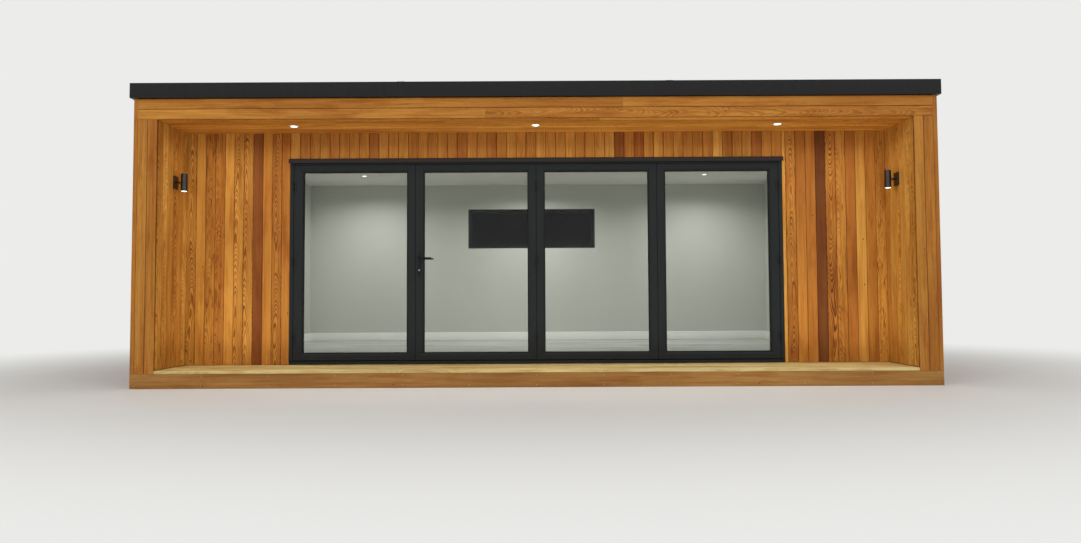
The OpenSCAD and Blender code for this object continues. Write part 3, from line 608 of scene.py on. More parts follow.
# Surround, fascia and corner trims. Two upright boards frame each side of the porch, two
# boards on edge cross its top, and square trims cover all four corners of the pod. All are
# face-nailed with small round-headed steel nails.
surround_low, surround_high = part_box("surround_boards")
surround_w = surround_high.x - cheek_high.x + clad_t
bm = new_boards()
for x in (-surround_high.x, surround_high.x - surround_w):
    boards = [(dice.uniform(0.34, 0.5), dice.uniform(0.3, 0.6), 0.3, STRAIGHT) for _ in range(2)]
    stand_boards(bm, (x, surround_high.y, surround_low.z), surround_high.z, X, -Y,
                 spaced(0, surround_w, 2), picked(boards))
add_piece("surround_planks", bm, cedar, "cedar", "surround_boards")

fascia_low, fascia_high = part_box("fascia")
fascia_w = (fascia_high.z - fascia_low.z) / 2
fascia_splits = (3.3, 4.6)
bm = new_boards()
for row, split in enumerate(fascia_splits):
    lay_lengths((fascia_low.x, fascia_high.y, fascia_low.z + fascia_w * row),
                fascia_high.x, Z, -Y, fascia_w, split, (0.34, 0.5))
add_piece("fascia_planks", bm, cedar, "cedar", "fascia")

corner_low, corner_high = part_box("corner_trims")
corner_w, corner_ease = 0.038, 0.002
corners = [(across, out, x, y) for across, x in ((X, corner_low.x), (-X, corner_high.x))
           for out, y in ((Y, corner_low.y), (-Y, corner_high.y))]
section = [(0, corner_ease, 0), (corner_ease, 0, 0), (corner_w - corner_ease, 0, 0),
           (corner_w, corner_ease, 0), (corner_w, clad_t, 1), (clad_t, clad_t, 1),
           (clad_t, corner_w, 1), (corner_ease, corner_w, 0), (0, corner_w - corner_ease, 0)]
bm = new_boards()
for across, out, x, y in corners:
    look = (dice.uniform(0.36, 0.5), 0.3, 0.2)
    lay_board(bm, (x, y, corner_low.z), Z, across, out, section, corner_high.z - corner_low.z,
              look, (0.18, 0.03, dice.uniform(0, 50), 1))
add_piece("corner_posts", bm, cedar, "cedar", "corner_trims")


def nail(bm, spot, out):
    turned(bm, mm((0, 0.6), (1.4, 0.5), (2.4, 0.1), (2.6, -0.6), (0, -1)), spot, out, 10)


nail_end, nail_half, butt_inset = 0.06, 0.03, 0.025
bm = bmesh.new()
for middle in (0.25, 0.75):
    for x in (-surround_high.x + surround_w * middle, surround_high.x - surround_w * middle):
        for z in spaced(surround_low.z + nail_end, surround_high.z - nail_end, 5):
            for across in (-nail_half, nail_half):
                nail(bm, (x + across, surround_low.y, z), -Y)
    for row, split in enumerate(fascia_splits):
        butt = fascia_low.x + split
        for x in spaced(fascia_low.x + 0.04, fascia_high.x - 0.04, 12) + [butt - butt_inset,
                                                                        butt + butt_inset]:
            nail(bm, (x, fascia_low.y, fascia_low.z + fascia_w * (row + middle)), -Y)
for across, out, x, y in corners:
    for z in spaced(corner_low.z + nail_end, corner_high.z - nail_end, 6):
        spot = Vector((x, y, z))
        nail(bm, spot + across * corner_w / 2, -out)
        nail(bm, spot + out * corner_w / 2, -across)
weld(bm)
add_piece("trim_nails", bm, satin_steel, "satin_steel")

# Wall lining and ceiling. Skimmed plasterboard, painted by roller. The paint keeps a fine
# stipple and dries a shade unevenly.
rolled_paint, given = new_group("Rolled paint", ("Paint", "Color", grey(0.7)))
place = object_place(rolled_paint)
lap = noise(rolled_paint, place, (2.6, 2.6, 0.9))
colour = tint(rolled_paint, 1.0, given["Paint"], between(rolled_paint, lap, 0.975, 1.015))
end_group(rolled_paint, colour, between(rolled_paint, lap, 0.72, 0.84),
          noise(rolled_paint, place, 320.0, 3.0))
for name, paint, node in (("Wall paint", srgb(204, 205, 196), "wall_lining"),
                          ("Ceiling paint", srgb(232, 231, 226), "ceiling")):
    finish, tree = new_finish(name)
    group_surface(tree, rolled_paint, {"Paint": paint}, 0.0003)
    dress(finish, node)

# Skirting. A moulded board with a rounded top stands along the foot of every wall, glued and
# pinned over a thin shadow gap, then painted white with a brush.
white_paint = plain_finish("White gloss paint", (232, 231, 226), (240, 239, 235), 3.0,
                           (12, 12, 420), (0.28, 0.4), 0.0001)
skirting_t, skirting_h = 0.018, skirting_high.z - skirting_low.z
moulding = [(0, 0, 0), (skirting_t - 0.005, 0, 0), (skirting_t - 0.005, 0.003, 0),
            (skirting_t, 0.003, 0)]
moulding += [(skirting_t - back, skirting_h - down, 0) for back, down in mm(
    (0, 30), (3, 26), (3, 14), (6, 5), (11, 0), (18, 0))]
length_x, length_y = skirting_high.x - skirting_low.x, skirting_high.y - skirting_low.y
gap_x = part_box("front_wall_head")[1].x
bm = new_boards()
for x, y, along, across, length in (
        (skirting_low.x, skirting_high.y, X, -Y, length_x),
        (skirting_low.x, skirting_low.y, Y, X, length_y),
        (skirting_high.x, skirting_low.y, Y, -X, length_y),
        (skirting_low.x, skirting_low.y, X, Y, skirting_high.x - gap_x),
        (gap_x, skirting_low.y, X, Y, skirting_high.x - gap_x)):
    lay_board(bm, (x, y, skirting_low.z), along, across, Z, moulding, length, (0, 0, 0),
              (0, 0, 0, 1))
add_piece("skirting_mouldings", bm, white_paint, "white_paint", "skirting", turn=50)

# Roof membrane. One sheet of rubber is glued over the panel, turned up inside the rim and
# lapped over the rear board, with two glued seams from front to rear.
roof_rubber, tree = new_finish("Roof rubber")
place = object_place(tree)
dust = noise(tree, place, 0.9, 7.0)
speck = noise(tree, place, 55.0, 3.0)
colour = mix(tree, remap(tree, dust, 0.3, 0.75, 0, 1), srgb(50, 50, 52), srgb(62, 61, 60))
colour = mix(tree, remap(tree, speck, 0.55, 0.8, 0, 0.5), colour, srgb(84, 82, 78))
surface(tree, colour, between(tree, dust, 0.6, 0.82), noise(tree, place, 160.0), 0.0006)
dress(roof_rubber, "roof_membrane")


def edges_of(verts):
    return list(dict.fromkeys(edge for vert in verts for edge in vert.link_edges))


def round_over(bm, edges, radius, steps):
    return bmesh.ops.bevel(bm, geom=edges, offset=radius, offset_type="OFFSET", segments=steps,
                           profile=0.5, affect="EDGES", material=-1)


def block(bm, one, other, ease=0.0, steps=1):
    """A block between two opposite corners, with its edges eased."""
    low, high = Vector(list(map(min, one, other))), Vector(list(map(max, one, other)))
    verts = bmesh.ops.create_cube(bm, size=1.0)["verts"]
    bmesh.ops.scale(bm, verts=verts, vec=high - low)
    bmesh.ops.translate(bm, verts=verts, vec=(low + high) / 2)
    if ease:
        round_over(bm, edges_of(verts), ease, steps)
    return verts


panel_low, panel_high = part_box("roof_panel")
roof_fall, rubber_t, seam_inset, seam_x = 0.050, 0.004, 0.006, 1.25
bm = bmesh.new()
for x in (-seam_x, seam_x):
    for half, thick in ((0.075, 0.0012), (0.0735, 0.0022)):
        for vert in block(bm, (x - half, panel_low.y + seam_inset, 0.0),
                          (x + half, panel_high.y, thick)):
            back = (vert.co.y - panel_low.y) / (panel_high.y - panel_low.y)
            vert.co.z += panel_high.z + rubber_t - roof_fall * back
add_piece("membrane_seams", bm, roof_rubber, "roof_rubber")

# Roof edge trim. Folded aluminium, powder coated dark, hooks over the rim on the front and
# both sides. It is mitred at the corners, with a cover strap over each butt joint.
powder_coat, given = new_group("Powder coat", ("Coat", "Color", grey(0.05)),
                               ("Weather", "Float", 0.3))
place = object_place(powder_coat)
cloud = noise(powder_coat, place, 5.0, 3.0)
runs = remap(powder_coat, noise(powder_coat, place, (70, 70, 3)), 0.5, 0.85, 0, 0.14)
chalk = calc(powder_coat, "MULTIPLY", runs, given["Weather"])
colour = tint(powder_coat, 1.0, given["Coat"], between(powder_coat, cloud, 0.95, 1.05))
end_group(powder_coat, mix(powder_coat, chalk, colour, srgb(112, 112, 110)),
          calc(powder_coat, "ADD", between(powder_coat, cloud, 0.33, 0.42), chalk),
          noise(powder_coat, place, 700.0, 1.0))


def powder_finish(name, coat, weather):
    finish, tree = new_finish(name)
    group_surface(tree, powder_coat, {"Coat": srgb(*coat), "Weather": weather}, 0.00005,
                  {"Specular IOR Level": 0.22})
    return finish


def sweep(bm, rows, closed=False):
    """Drags a row of points through the later rows and back, and skins what it passes."""
    verts = [bm.verts.new(point) for point in rows[0]]

    def pairs(row):
        return list(zip(row, row[1:] + row[:1])) if closed else list(zip(row, row[1:]))

    edges = [bm.edges.new(pair) for pair in pairs(verts)]
    for row in rows[1:] + rows[:1]:
        grown = bmesh.ops.extrude_edge_only(bm, edges=edges)["geom"]
        fresh = set(only(bmesh.types.BMVert, grown))
        verts = [next(edge.other_vert(old) for edge in old.link_edges
                      if edge.other_vert(old) in fresh) for old in verts]
        edges = [bm.edges.get(pair) for pair in pairs(verts)]
        for vert, point in zip(verts, row):
            vert.co = point


dark_trim = powder_finish("Dark trim", (28, 28, 29), 0.2)
trim_low, trim_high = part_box("roof_edge_trim")
trim_foot, trim_reach, trim_t, trim_lip, fold = 0.050, 0.108, 0.004, 0.036, 0.003
strap_t, strap_half, strap_ease, strap_y = 0.0008, 0.035, 0.0003, -0.05
joint_x = (-1.27, 1.27)
trim_z = fascia_high.z
lip_z, top, bend = trim_high.z - trim_z - trim_lip, trim_high.z - trim_z - strap_t, fold * 0.3
section = [
    (strap_t + fold, 0), (trim_foot, 0), (trim_foot, trim_t), (strap_t + trim_t, trim_t),
    (strap_t + trim_t, top - trim_t), (trim_reach - trim_t, top - trim_t),
    (trim_reach - trim_t, lip_z), (trim_reach, lip_z), (trim_reach, top - fold),
    (trim_reach - bend, top - bend), (trim_reach - fold, top), (strap_t + fold, top),
    (strap_t + bend, top - bend), (strap_t, top - fold), (strap_t, fold), (strap_t + bend, bend)]
bm = bmesh.new()
sweep(bm, [[(x, y, trim_z + z) for x, y in (
    (trim_low.x + i, trim_high.y), (trim_low.x + i, trim_low.y + i),
    (trim_high.x - i, trim_low.y + i), (trim_high.x - i, trim_high.y))] for i, z in section])
weld(bm)
sides = (trim_low.x, 1), (trim_high.x, -1)
for deep, foot in ((trim_t, trim_z + 0.002), (trim_reach, trim_high.z - 0.003)):
    for x in joint_x:
        block(bm, (x - strap_half, trim_low.y, foot),
              (x + strap_half, trim_low.y + deep, trim_high.z), strap_ease)
    for x, inward in sides:
        block(bm, (x, strap_y - strap_half, foot),
              (x + inward * deep, strap_y + strap_half, trim_high.z), strap_ease)
for x, inward in sides:
    block(bm, (x, trim_high.y - trim_t, trim_z),
          (x + inward * (trim_reach - 0.008), trim_high.y, trim_high.z), 0.001)
rear_board_x, rear_board_t = panel_high.x - 0.001, 0.020
block(bm, (-rear_board_x, trim_high.y - rear_board_t, trim_low.z),
      (rear_board_x, trim_high.y, panel_high.z - roof_fall), 0.0015)
add_piece("edge_trim", bm, dark_trim, "dark_trim", "roof_edge_trim")

# Gutter and downpipe. A square gutter of folded aluminium hangs from the rear board on
# straps. Its sleeves cover the joints. A round downpipe hangs from it on three clips.


def draw_along_x(bm, section, low, high):
    """Draws a section of Y and Z out along X."""
    sweep(bm, [[(low, y, z), (high, y, z)] for y, z in section])


anthracite = powder_finish("Anthracite powder coat", (27, 31, 33), 0.1)
gutter_low, gutter_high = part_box("rear_gutter")
sleeve_t, gutter_t, lip_w, fold, cap_t = 0.0012, 0.003, 0.012, 0.004, 0.004
sleeve_half, bar_half, outer_strap = 0.04, 0.012, 3.4
outer_y, inner_y = gutter_high.y - sleeve_t, gutter_low.y
bottom_z, top_z = gutter_low.z + sleeve_t, gutter_high.z
bm = bmesh.new()
draw_along_x(bm, [
    (inner_y, top_z), (inner_y, bottom_z + fold), (inner_y + fold, bottom_z),
    (outer_y - fold, bottom_z), (outer_y, bottom_z + fold), (outer_y, top_z - 0.001),
    (outer_y - 0.001, top_z), (outer_y - lip_w, top_z), (outer_y - lip_w, top_z - 0.006),
    (outer_y - lip_w + 0.002, top_z - 0.006), (outer_y - lip_w + 0.002, top_z - gutter_t),
    (outer_y - gutter_t, top_z - gutter_t), (outer_y - gutter_t, bottom_z + fold),
    (outer_y - fold, bottom_z + gutter_t), (inner_y + fold, bottom_z + gutter_t),
    (inner_y + gutter_t, bottom_z + fold), (inner_y + gutter_t, top_z)],
    0.002 - gutter_high.x, gutter_high.x - 0.002)
weld(bm)
for x in (-gutter_high.x, gutter_high.x - cap_t):
    block(bm, (x, inner_y, gutter_low.z), (x + cap_t, outer_y + sleeve_t, top_z - 0.001), 0.001)
for x in joint_x:
    draw_along_x(bm, [
        (inner_y, gutter_low.z), (outer_y - fold, gutter_low.z),
        (gutter_high.y, gutter_low.z + fold), (gutter_high.y, top_z), (outer_y - 0.002, top_z),
        (outer_y - 0.002, bottom_z + 0.006), (outer_y - 0.006, bottom_z + 0.002),
        (inner_y, bottom_z + 0.002)], x - sleeve_half, x + sleeve_half)
for x in spaced(-outer_strap, outer_strap, 9):
    block(bm, (x - bar_half, inner_y + 0.001, top_z - 0.0085),
          (x + bar_half, outer_y - 0.004, top_z - 0.0035), 0.0008)
weld(bm)
add_piece("gutter_channel", bm, anthracite, "anthracite", "rear_gutter")


def hoop_at(bm, radius, segments, spot, turn=None):
    """An open circle of edges round a spot, flat unless it is turned."""
    circle = bmesh.ops.create_circle(bm, cap_ends=False, radius=radius, segments=segments)["verts"]
    if turn:
        bmesh.ops.rotate(bm, verts=circle, cent=(0, 0, 0), matrix=turn.to_matrix())
    bmesh.ops.translate(bm, verts=circle, vec=spot)
    return edges_of(circle)


def bent_hoop(bm, hoop, centre, axis, angle, steps):
    """Carries an open hoop of edges round a bend."""
    last = bmesh.ops.spin(bm, geom=hoop, cent=centre, axis=axis, angle=angle, steps=steps)
    return only(bmesh.types.BMEdge, last["geom_last"])


def push(bm, hoop, shift, scale=1.0):
    """Draws an open hoop of edges on by a step, narrowing it round its middle."""
    grown = bmesh.ops.extrude_edge_only(bm, edges=hoop)["geom"]
    verts = only(bmesh.types.BMVert, grown)
    centre = sum((vert.co for vert in verts), Vector()) / len(verts)
    for vert in verts:
        vert.co = centre + (vert.co - centre) * scale + shift
    return [edge for edge in only(bmesh.types.BMEdge, grown) if set(edge.verts) <= set(verts)]


pipe_x, pipe_y = side_low.x + 0.220, (gutter_low.y + gutter_high.y) / 2
pipe_r, socket_r, shoe_r, shoe_angle = 0.034, 0.037, 0.080, math.radians(60)
bend_z, pipe_top, slip_r = 0.090 + shoe_r, gutter_low.z, socket_r - 0.001
middle = (bend_z + pipe_top) / 2
axis = (pipe_x, pipe_y, 0)
bm = bmesh.new()
turned(bm, [(0, bend_z), (pipe_r, bend_z), (pipe_r, bend_z + 0.055), (slip_r, bend_z + 0.055),
            (slip_r, bend_z + 0.075), (pipe_r, bend_z + 0.077), (pipe_r, middle + 0.26),
            (slip_r, middle + 0.26), (socket_r, middle + 0.262), (socket_r, middle + 0.318),
            (pipe_r, middle + 0.32), (pipe_r, pipe_top - 0.04), (socket_r, pipe_top - 0.04),
            (socket_r, pipe_top), (0, pipe_top)], axis, Z, 40)
hoop = hoop_at(bm, pipe_r, 40, (pipe_x, pipe_y, bend_z))
hoop = bent_hoop(bm, hoop, (pipe_x - shoe_r, pipe_y, bend_z), -Y, -shoe_angle, 10)
hoop = push(bm, hoop, Vector(), 0.94)
push(bm, hoop, Vector((math.sin(shoe_angle), 0, math.cos(shoe_angle))) * 0.05, 0.90)
clip_in = pipe_r - 0.001
for z in (bend_z + 0.150, middle, pipe_top - 0.300):
    low, high = z + 0.002, z + 0.022
    turned(bm, [(clip_in, z), (socket_r, z), (socket_r, z + 0.024), (clip_in, z + 0.024)],
           axis, Z, 40)
    block(bm, (pipe_x - 0.012, side_high.y + 0.038, low),
          (pipe_x + 0.012, pipe_y - pipe_r + 0.004, high), 0.002)
    block(bm, (pipe_x - 0.026, rear_high.y, z - 0.006),
          (pipe_x + 0.026, rear_high.y + 0.004, z + 0.030), 0.002)
    for x in (pipe_x - 0.041, pipe_x + 0.041):
        block(bm, (x - 0.006, pipe_y - 0.005, low), (x + 0.006, pipe_y + 0.005, high), 0.001)
weld(bm)
add_piece("round_downpipe", bm, anthracite, "anthracite", "downpipe")

# Door frame. Jambs and head of thermally broken aluminium, mitred, powder coated anthracite
# and screwed through to the wall. A stop behind the leaves carries their seals.
frame_low, frame_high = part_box("door_frame")
leaf_low, leaf_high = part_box("door_leaf_1")
jamb_w, head_h, stop_lap, ease = 0.035, 0.055, 0.012, 0.0012
stop_y = leaf_high.y + 0.003
rows = []
for side, inset, y in (
        ("out", 0, frame_high.y), ("out", 0, frame_low.y + ease), ("out", ease, frame_low.y),
        ("in", -ease, frame_low.y), ("in", 0, frame_low.y + ease), ("in", 0, stop_y),
        ("in", stop_lap - ease, stop_y), ("in", stop_lap, stop_y + ease),
        ("in", stop_lap, frame_high.y)):
    x, z = frame_high.x - inset, frame_high.z - inset
    if side == "in":
        x, z = x - jamb_w, z - head_h
    rows.append([(-x, y, frame_low.z), (-x, y, z), (x, y, z), (x, y, frame_low.z)])
bm = bmesh.new()
sweep(bm, rows)
weld(bm)
add_piece("door_surround", bm, anthracite, "anthracite", "door_frame", turn=20)

# Threshold and head flashing. A low aluminium sill with a guide channel drains through
# capped slots in its front. A folded flashing throws water clear of the head.
dress(anthracite, "door_threshold")
dress(powder_finish("Flashing", (40, 36, 34), 0.4), "head_flashing")
cap_half, outer_cap = 0.017, 2.17
bm = bmesh.new()
for x in spaced(-outer_cap, outer_cap, 7):
    block(bm, (x - cap_half, sill_low.y - 0.0018, sill_low.z + 0.007),
          (x + cap_half, sill_low.y + 0.002, sill_low.z + 0.015), 0.0015)
add_piece("drain_caps", bm, anthracite, "anthracite")

# Door leaves. Four glazed leaves, each a mitred frame of aluminium crimped at the corners,
# with a sloped lip on both faces of the rebate that holds its glass.


def mitred_ring(bm, outside, opening, points):
    """Carries a section, measured in from the outside or the opening, round a frame."""
    rows = []
    for side, inset, y in points:
        x_low, z_low, x_high, z_high = outside if side == "out" else opening
        low, high = (x_low + inset, z_low + inset), (x_high - inset, z_high - inset)
        rows.append([(x, y, z) for x, z in (low, (high[0], low[1]), high, (low[0], high[1]))])
    sweep(bm, rows, closed=True)


stile_w, jamb_stile_w, rail_h = 0.080, 0.090, 0.069
lip_t, nose_w, nose_d, nose_round, rebate = 0.012, 0.017, 0.010, 0.0085, 0.016
leaves = []
for n in range(1, 5):
    low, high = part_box(f"door_leaf_{n}")
    left = jamb_stile_w if n == 1 else stile_w
    right = jamb_stile_w if n == 4 else stile_w
    outside = (low.x, low.z, high.x, high.z)
    opening = (low.x + left, low.z + rail_h, high.x - right, high.z - rail_h)
    leaves.append((outside, opening))
    face, back = low.y, high.y
    bm = bmesh.new()
    mitred_ring(bm, outside, opening, (
        ("out", ease, face), ("in", -nose_w, face), ("in", -0.001, face + nose_round),
        ("in", 0, face + nose_d), ("in", 0, face + lip_t), ("in", -rebate, face + lip_t),
        ("in", -rebate, back - lip_t), ("in", 0, back - lip_t), ("in", 0, back - nose_d),
        ("in", -0.001, back - nose_round), ("in", -nose_w, back), ("out", ease, back),
        ("out", 0, back - ease), ("out", 0, face + ease)))
    weld(bm)
    add_piece(f"leaf_frame_{n}", bm, anthracite, "anthracite", f"door_leaf_{n}", turn=20)

# Gaskets and glass. Double-glazed units: two clear panes with a dark spacer bar between
# them, held in each leaf by black rubber gaskets pressed in from both sides. Rubber lips
# meet in the joints between the leaves.
rubber = plain_finish("Black rubber", (13, 13, 14), (21, 21, 22), 6.0, 240.0, (0.45, 0.6), 0.0001,
                      {"Specular IOR Level": 0.2})
glass_low, glass_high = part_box("door_glass")
glass_lap, pane_t, spacer_in = 0.012, 0.004, 0.007
bm = bmesh.new()
for outside, opening in leaves:
    for y, out in ((glass_low.y, -1), (glass_high.y, 1)):
        mitred_ring(bm, outside, opening, [("in", inset, y + deep * out) for inset, deep in mm(
            (-8, 0), (-8, 6), (4, 6), (7.5, 4.5), (9, 2), (9, 0))])
weld(bm)
add_piece("glazing_gaskets", bm, rubber, "gasket_rubber", "door_gaskets")

bm = bmesh.new()
near, far, tucked = glass_low.y + pane_t, glass_high.y - pane_t, 0.001 - glass_lap
for outside, opening in leaves:
    mitred_ring(bm, outside, opening, (
        ("in", tucked, near), ("in", spacer_in, near), ("in", spacer_in, far), ("in", tucked, far)))
weld(bm)
add_piece("glass_spacers", bm, rubber, "gasket_rubber")

seal_inset, seal_lip = 0.012, 0.003
bm = bmesh.new()
for (one, _), (other, _) in zip(leaves, leaves[1:]):
    left, right, foot, head = one[2], other[0], one[1] + 0.001, one[3] - 0.001
    front, rear, middle = leaf_low.y + seal_inset, leaf_high.y - seal_inset, (left + right) / 2
    sweep(bm, [[(x, y, foot), (x, y, head)] for x, y in (
        (left, front), (middle, front + seal_lip), (right, front),
        (right, rear), (middle, rear - seal_lip), (left, rear))])
weld(bm)
add_piece("leaf_seals", bm, rubber, "gasket_rubber")


def end_blend(tree, share, first, second, end="OutputMaterial"):
    """Ends a finish with a blend of two shaders."""
    both = put(tree, "MixShader", enumerate((share, first, second))).outputs[0]
    put(tree, end, {"Surface": both})


def glass_finish(name, colour, shadow, bend):
    """Glass that lets lamp light through. Its faint smears show only as a change of gloss."""
    finish, tree = new_finish(name)
    smear = remap(tree, noise(tree, object_place(tree), 2.2, 3.0), 0.55, 0.85, 0.0, 0.02)
    solid = put(tree, "BsdfPrincipled", {"Base Color": colour, "IOR": bend, "Roughness": smear,
                                         "Transmission Weight": 1.0}).outputs[0]
    open_air = put(tree, "BsdfTransparent", {"Color": shadow}).outputs[0]
    end_blend(tree, put(tree, "LightPath").outputs["Is Shadow Ray"], solid, open_air)
    return finish


clear_glass = glass_finish("Clear glass", (0.97, 0.985, 0.98, 1), (0.94, 0.96, 0.95, 1), 1.17)


def panes(opening, *places):
    """Panes of glass that reach under the lips round an opening."""
    for y in places:
        block(bm, (opening[0] - glass_lap, y, opening[1] - glass_lap),
              (opening[2] + glass_lap, y + pane_t, opening[3] + glass_lap))


bm = bmesh.new()
for _, opening in leaves:
    panes(opening, glass_low.y, far)
add_piece("door_panes", bm, clear_glass, "clear_glass", "door_glass", turn=10)

# Hinges. Three to a joint, with three knuckles on a pin and a plate on each side that is
# held by three screws. The joint of leaves 3 and 4 has its hinges on the inside.
handle_metal = powder_finish("Handle metal", (18, 19, 20), 0.0)
hinge_len, hinge_inset, knuckle_r, pin_r, gap, round_r = 0.092, 0.180, 0.008, 0.0064, 0.0015, 0.0006
plate_w, plate_t, screw_x, screw_ups = 0.026, 0.003, 0.0165, (0.016, 0.046, 0.076)
pin_out, jamb_packer = 0.0086, 0.004
knuckle = (hinge_len - 2 * gap) / 3
profile = [(0, 0)]
for foot in (0, knuckle + gap, 2 * (knuckle + gap)):
    head = foot + knuckle
    profile += [(pin_r, foot), (knuckle_r - round_r, foot), (knuckle_r, foot + round_r),
                (knuckle_r, head - round_r), (knuckle_r - round_r, head), (pin_r, head)]
profile.append((0, hinge_len))
jamb_x = leaf_low.x - 0.0015
middle_x = (leaves[1][0][2] + leaves[2][0][0]) / 2
inside_x = (leaves[2][0][2] + leaves[3][0][0]) / 2
barrels, plates, screws = bmesh.new(), bmesh.new(), bmesh.new()
for x, plane, out, packed in ((jamb_x, frame_low.y, -1, 1), (-jamb_x, frame_low.y, -1, -1),
                              (middle_x, leaf_low.y, -1, 0), (inside_x, leaf_high.y, 1, 0)):
    for z in (leaf_low.z + hinge_inset, (leaf_low.z + leaf_high.z - hinge_len) / 2,
              leaf_high.z - hinge_inset - hinge_len):
        turned(barrels, profile, (x, plane + out * pin_out, z), Z, 20)
        for side in (-1, 1):
            deep = plane - out * (jamb_packer if side == packed else 0)
            block(plates, (x, plane + out * plate_t, z), (x + side * plate_w, deep, z + hinge_len),
                  0.0008)
            for up in screw_ups:
                turned(screws, mm((0, -0.6), (1.2, -0.4), (1.4, 0.6), (3.6, 0.5), (3.9, 0),
                                  (3.9, -1), (0, -2)),
                       (x + side * screw_x, plane + out * 0.0028, z + up), Y * out, 10)
weld(barrels)
weld(screws)
add_piece("hinge_barrels", barrels, handle_metal, "handle_metal")
add_piece("hinge_plates", plates, anthracite, "anthracite", "door_hinges")
add_piece("hinge_screws", screws, handle_metal, "handle_metal")

# Lever handles. A slim back plate on each face of leaf 2, with a bent bar for a lever and a
# steel key cylinder below it, bolted through the stile.


def rounded_plate(bm, low, high, radius, ease):
    """A plate facing along Y with round corners and a soft front edge."""
    along_y = [edge for edge in edges_of(block(bm, low, high))
               if abs((edge.verts[0].co - edge.verts[1].co).y) > 1e-6]
    shaped = round_over(bm, along_y, radius, 8)["verts"]
    faces = dict.fromkeys(f for v in shaped for f in v.link_faces if abs(f.normal.y) > 0.9)
    round_over(bm, list(dict.fromkeys(e for f in faces for e in f.edges)), ease, 2)


stile_x = leaves[1][0][0] + stile_w / 2
lever_z, key_drop, lever_r, lever_len = 1.247, 0.122, 0.008, 0.127
reach, elbow, rose = 0.050, 0.014, 0.008
plate_z, plate_half_w, plate_half_h, plate_t = lever_z - key_drop / 2, 0.016, 0.1175, 0.009
plate_round, plate_ease = 0.0155, 0.0015
levers, cylinders = bmesh.new(), bmesh.new()
for plane, out in ((leaf_low.y, -1), (leaf_high.y, 1)):
    rounded_plate(levers, (stile_x - plate_half_w, plane, plate_z - plate_half_h),
                  (stile_x + plate_half_w, plane + out * plate_t, plate_z + plate_half_h),
                  plate_round, plate_ease)
    turned(levers, mm((13.5, 8), (13.5, 11.5), (12.5, 12.5), (8.2, 12.5)),
           (stile_x, plane, lever_z), Y * out, 28)
    hoop = hoop_at(levers, lever_r, 20, (stile_x, plane + out * rose, lever_z),
                   Z.rotation_difference(Y))
    hoop = push(levers, hoop, Y * out * (reach - elbow - rose))
    hoop = bent_hoop(levers, hoop, (stile_x + elbow, plane + out * (reach - elbow), lever_z), Z,
                     -out * math.pi / 2, 8)
    for step, scale in ((lever_len - elbow - 0.006, 1.0), (0.003, 0.93), (0.002, 0.75),
                        (0.001, 0.4)):
        hoop = push(levers, hoop, X * step, scale)
    turned(cylinders, mm((0, 12.5), (1.1, 12.5), (1.3, 14.8), (7.2, 14.8), (8.5, 13.8), (8.5, 8),
                         (0, 8)), (stile_x, plane, lever_z - key_drop), Y * out, 28)
weld(levers)
add_piece("lever_handles", levers, handle_metal, "handle_metal", "door_handle")
weld(cylinders)
add_piece("key_cylinders", cylinders, satin_steel, "satin_steel")

# Rear window. A fixed slot of aluminium with a lined reveal to the room, a sloped sill outside, and
# a double-glazed unit of clear glass, tinted near black as painted shade so that it looks dark from
# both sides.
frame_out, frame_in, glass_mid = 2.400, 2.330, 2.365
win_face, unit_half, bead = 0.045, 0.012, 0.016
foot = sill_wall.z
outside = (window_low.x, foot, window_high.x, window_high.z)
opening = (window_low.x + win_face, foot + win_face,
           window_high.x - win_face, window_high.z - win_face)
bm = bmesh.new()
mitred_ring(bm, outside, opening, (
    ("out", 0.001, frame_out), ("in", -0.008, frame_out), ("in", 0, frame_out - 0.005),
    ("in", 0, glass_mid + bead), ("in", -0.016, glass_mid + bead),
    ("in", -0.016, glass_mid - bead), ("in", 0, glass_mid - bead), ("in", 0, frame_in + 0.005),
    ("in", -0.008, frame_in), ("out", 0.009, frame_in), ("out", 0.009, window_low.y + ease),
    ("out", 0.009 - ease, window_low.y), ("out", 0, window_low.y), ("out", 0, frame_out - 0.001)))
draw_along_x(bm, (
    (sill_wall.y, window_low.z), (window_high.y - 0.001, window_low.z),
    (window_high.y, window_low.z + 0.001), (window_high.y, window_low.z + 0.006),
    (window_high.y - 0.002, window_low.z + 0.008), (frame_out + 0.002, foot + 0.0005),
    (sill_wall.y, foot + 0.0005)), window_low.x, window_high.x)
weld(bm)
add_piece("window_surround", bm, anthracite, "anthracite", "window_frame", turn=20)
bm = bmesh.new()
for out in (1, -1):
    mitred_ring(bm, outside, opening, [
        ("in", inset, glass_mid + (unit_half + deep) * out)
        for inset, deep in mm((-8, 0), (-8, 4), (2, 4), (4, 3), (4.5, 0))])
mitred_ring(bm, outside, opening, [("in", inset, glass_mid + deep) for inset, deep in mm(
    (-11, 8), (3, 8), (3, -8), (-11, -8))])
weld(bm)
add_piece("window_gaskets", bm, rubber, "gasket_rubber")
# Painted shade: the clear panes are tinted near black for the dark seen through the window, and let
# almost no lamp light through.
darkened_glass = glass_finish("Glass with painted darkness", (0.03, 0.033, 0.036, 1), (0.02, 0.022, 0.024, 1), 1.2)
bm = bmesh.new()
panes(opening, glass_mid - unit_half, glass_mid + unit_half - pane_t)
add_piece("window_panes", bm, darkened_glass, "clear_glass", "window_glass", turn=10)
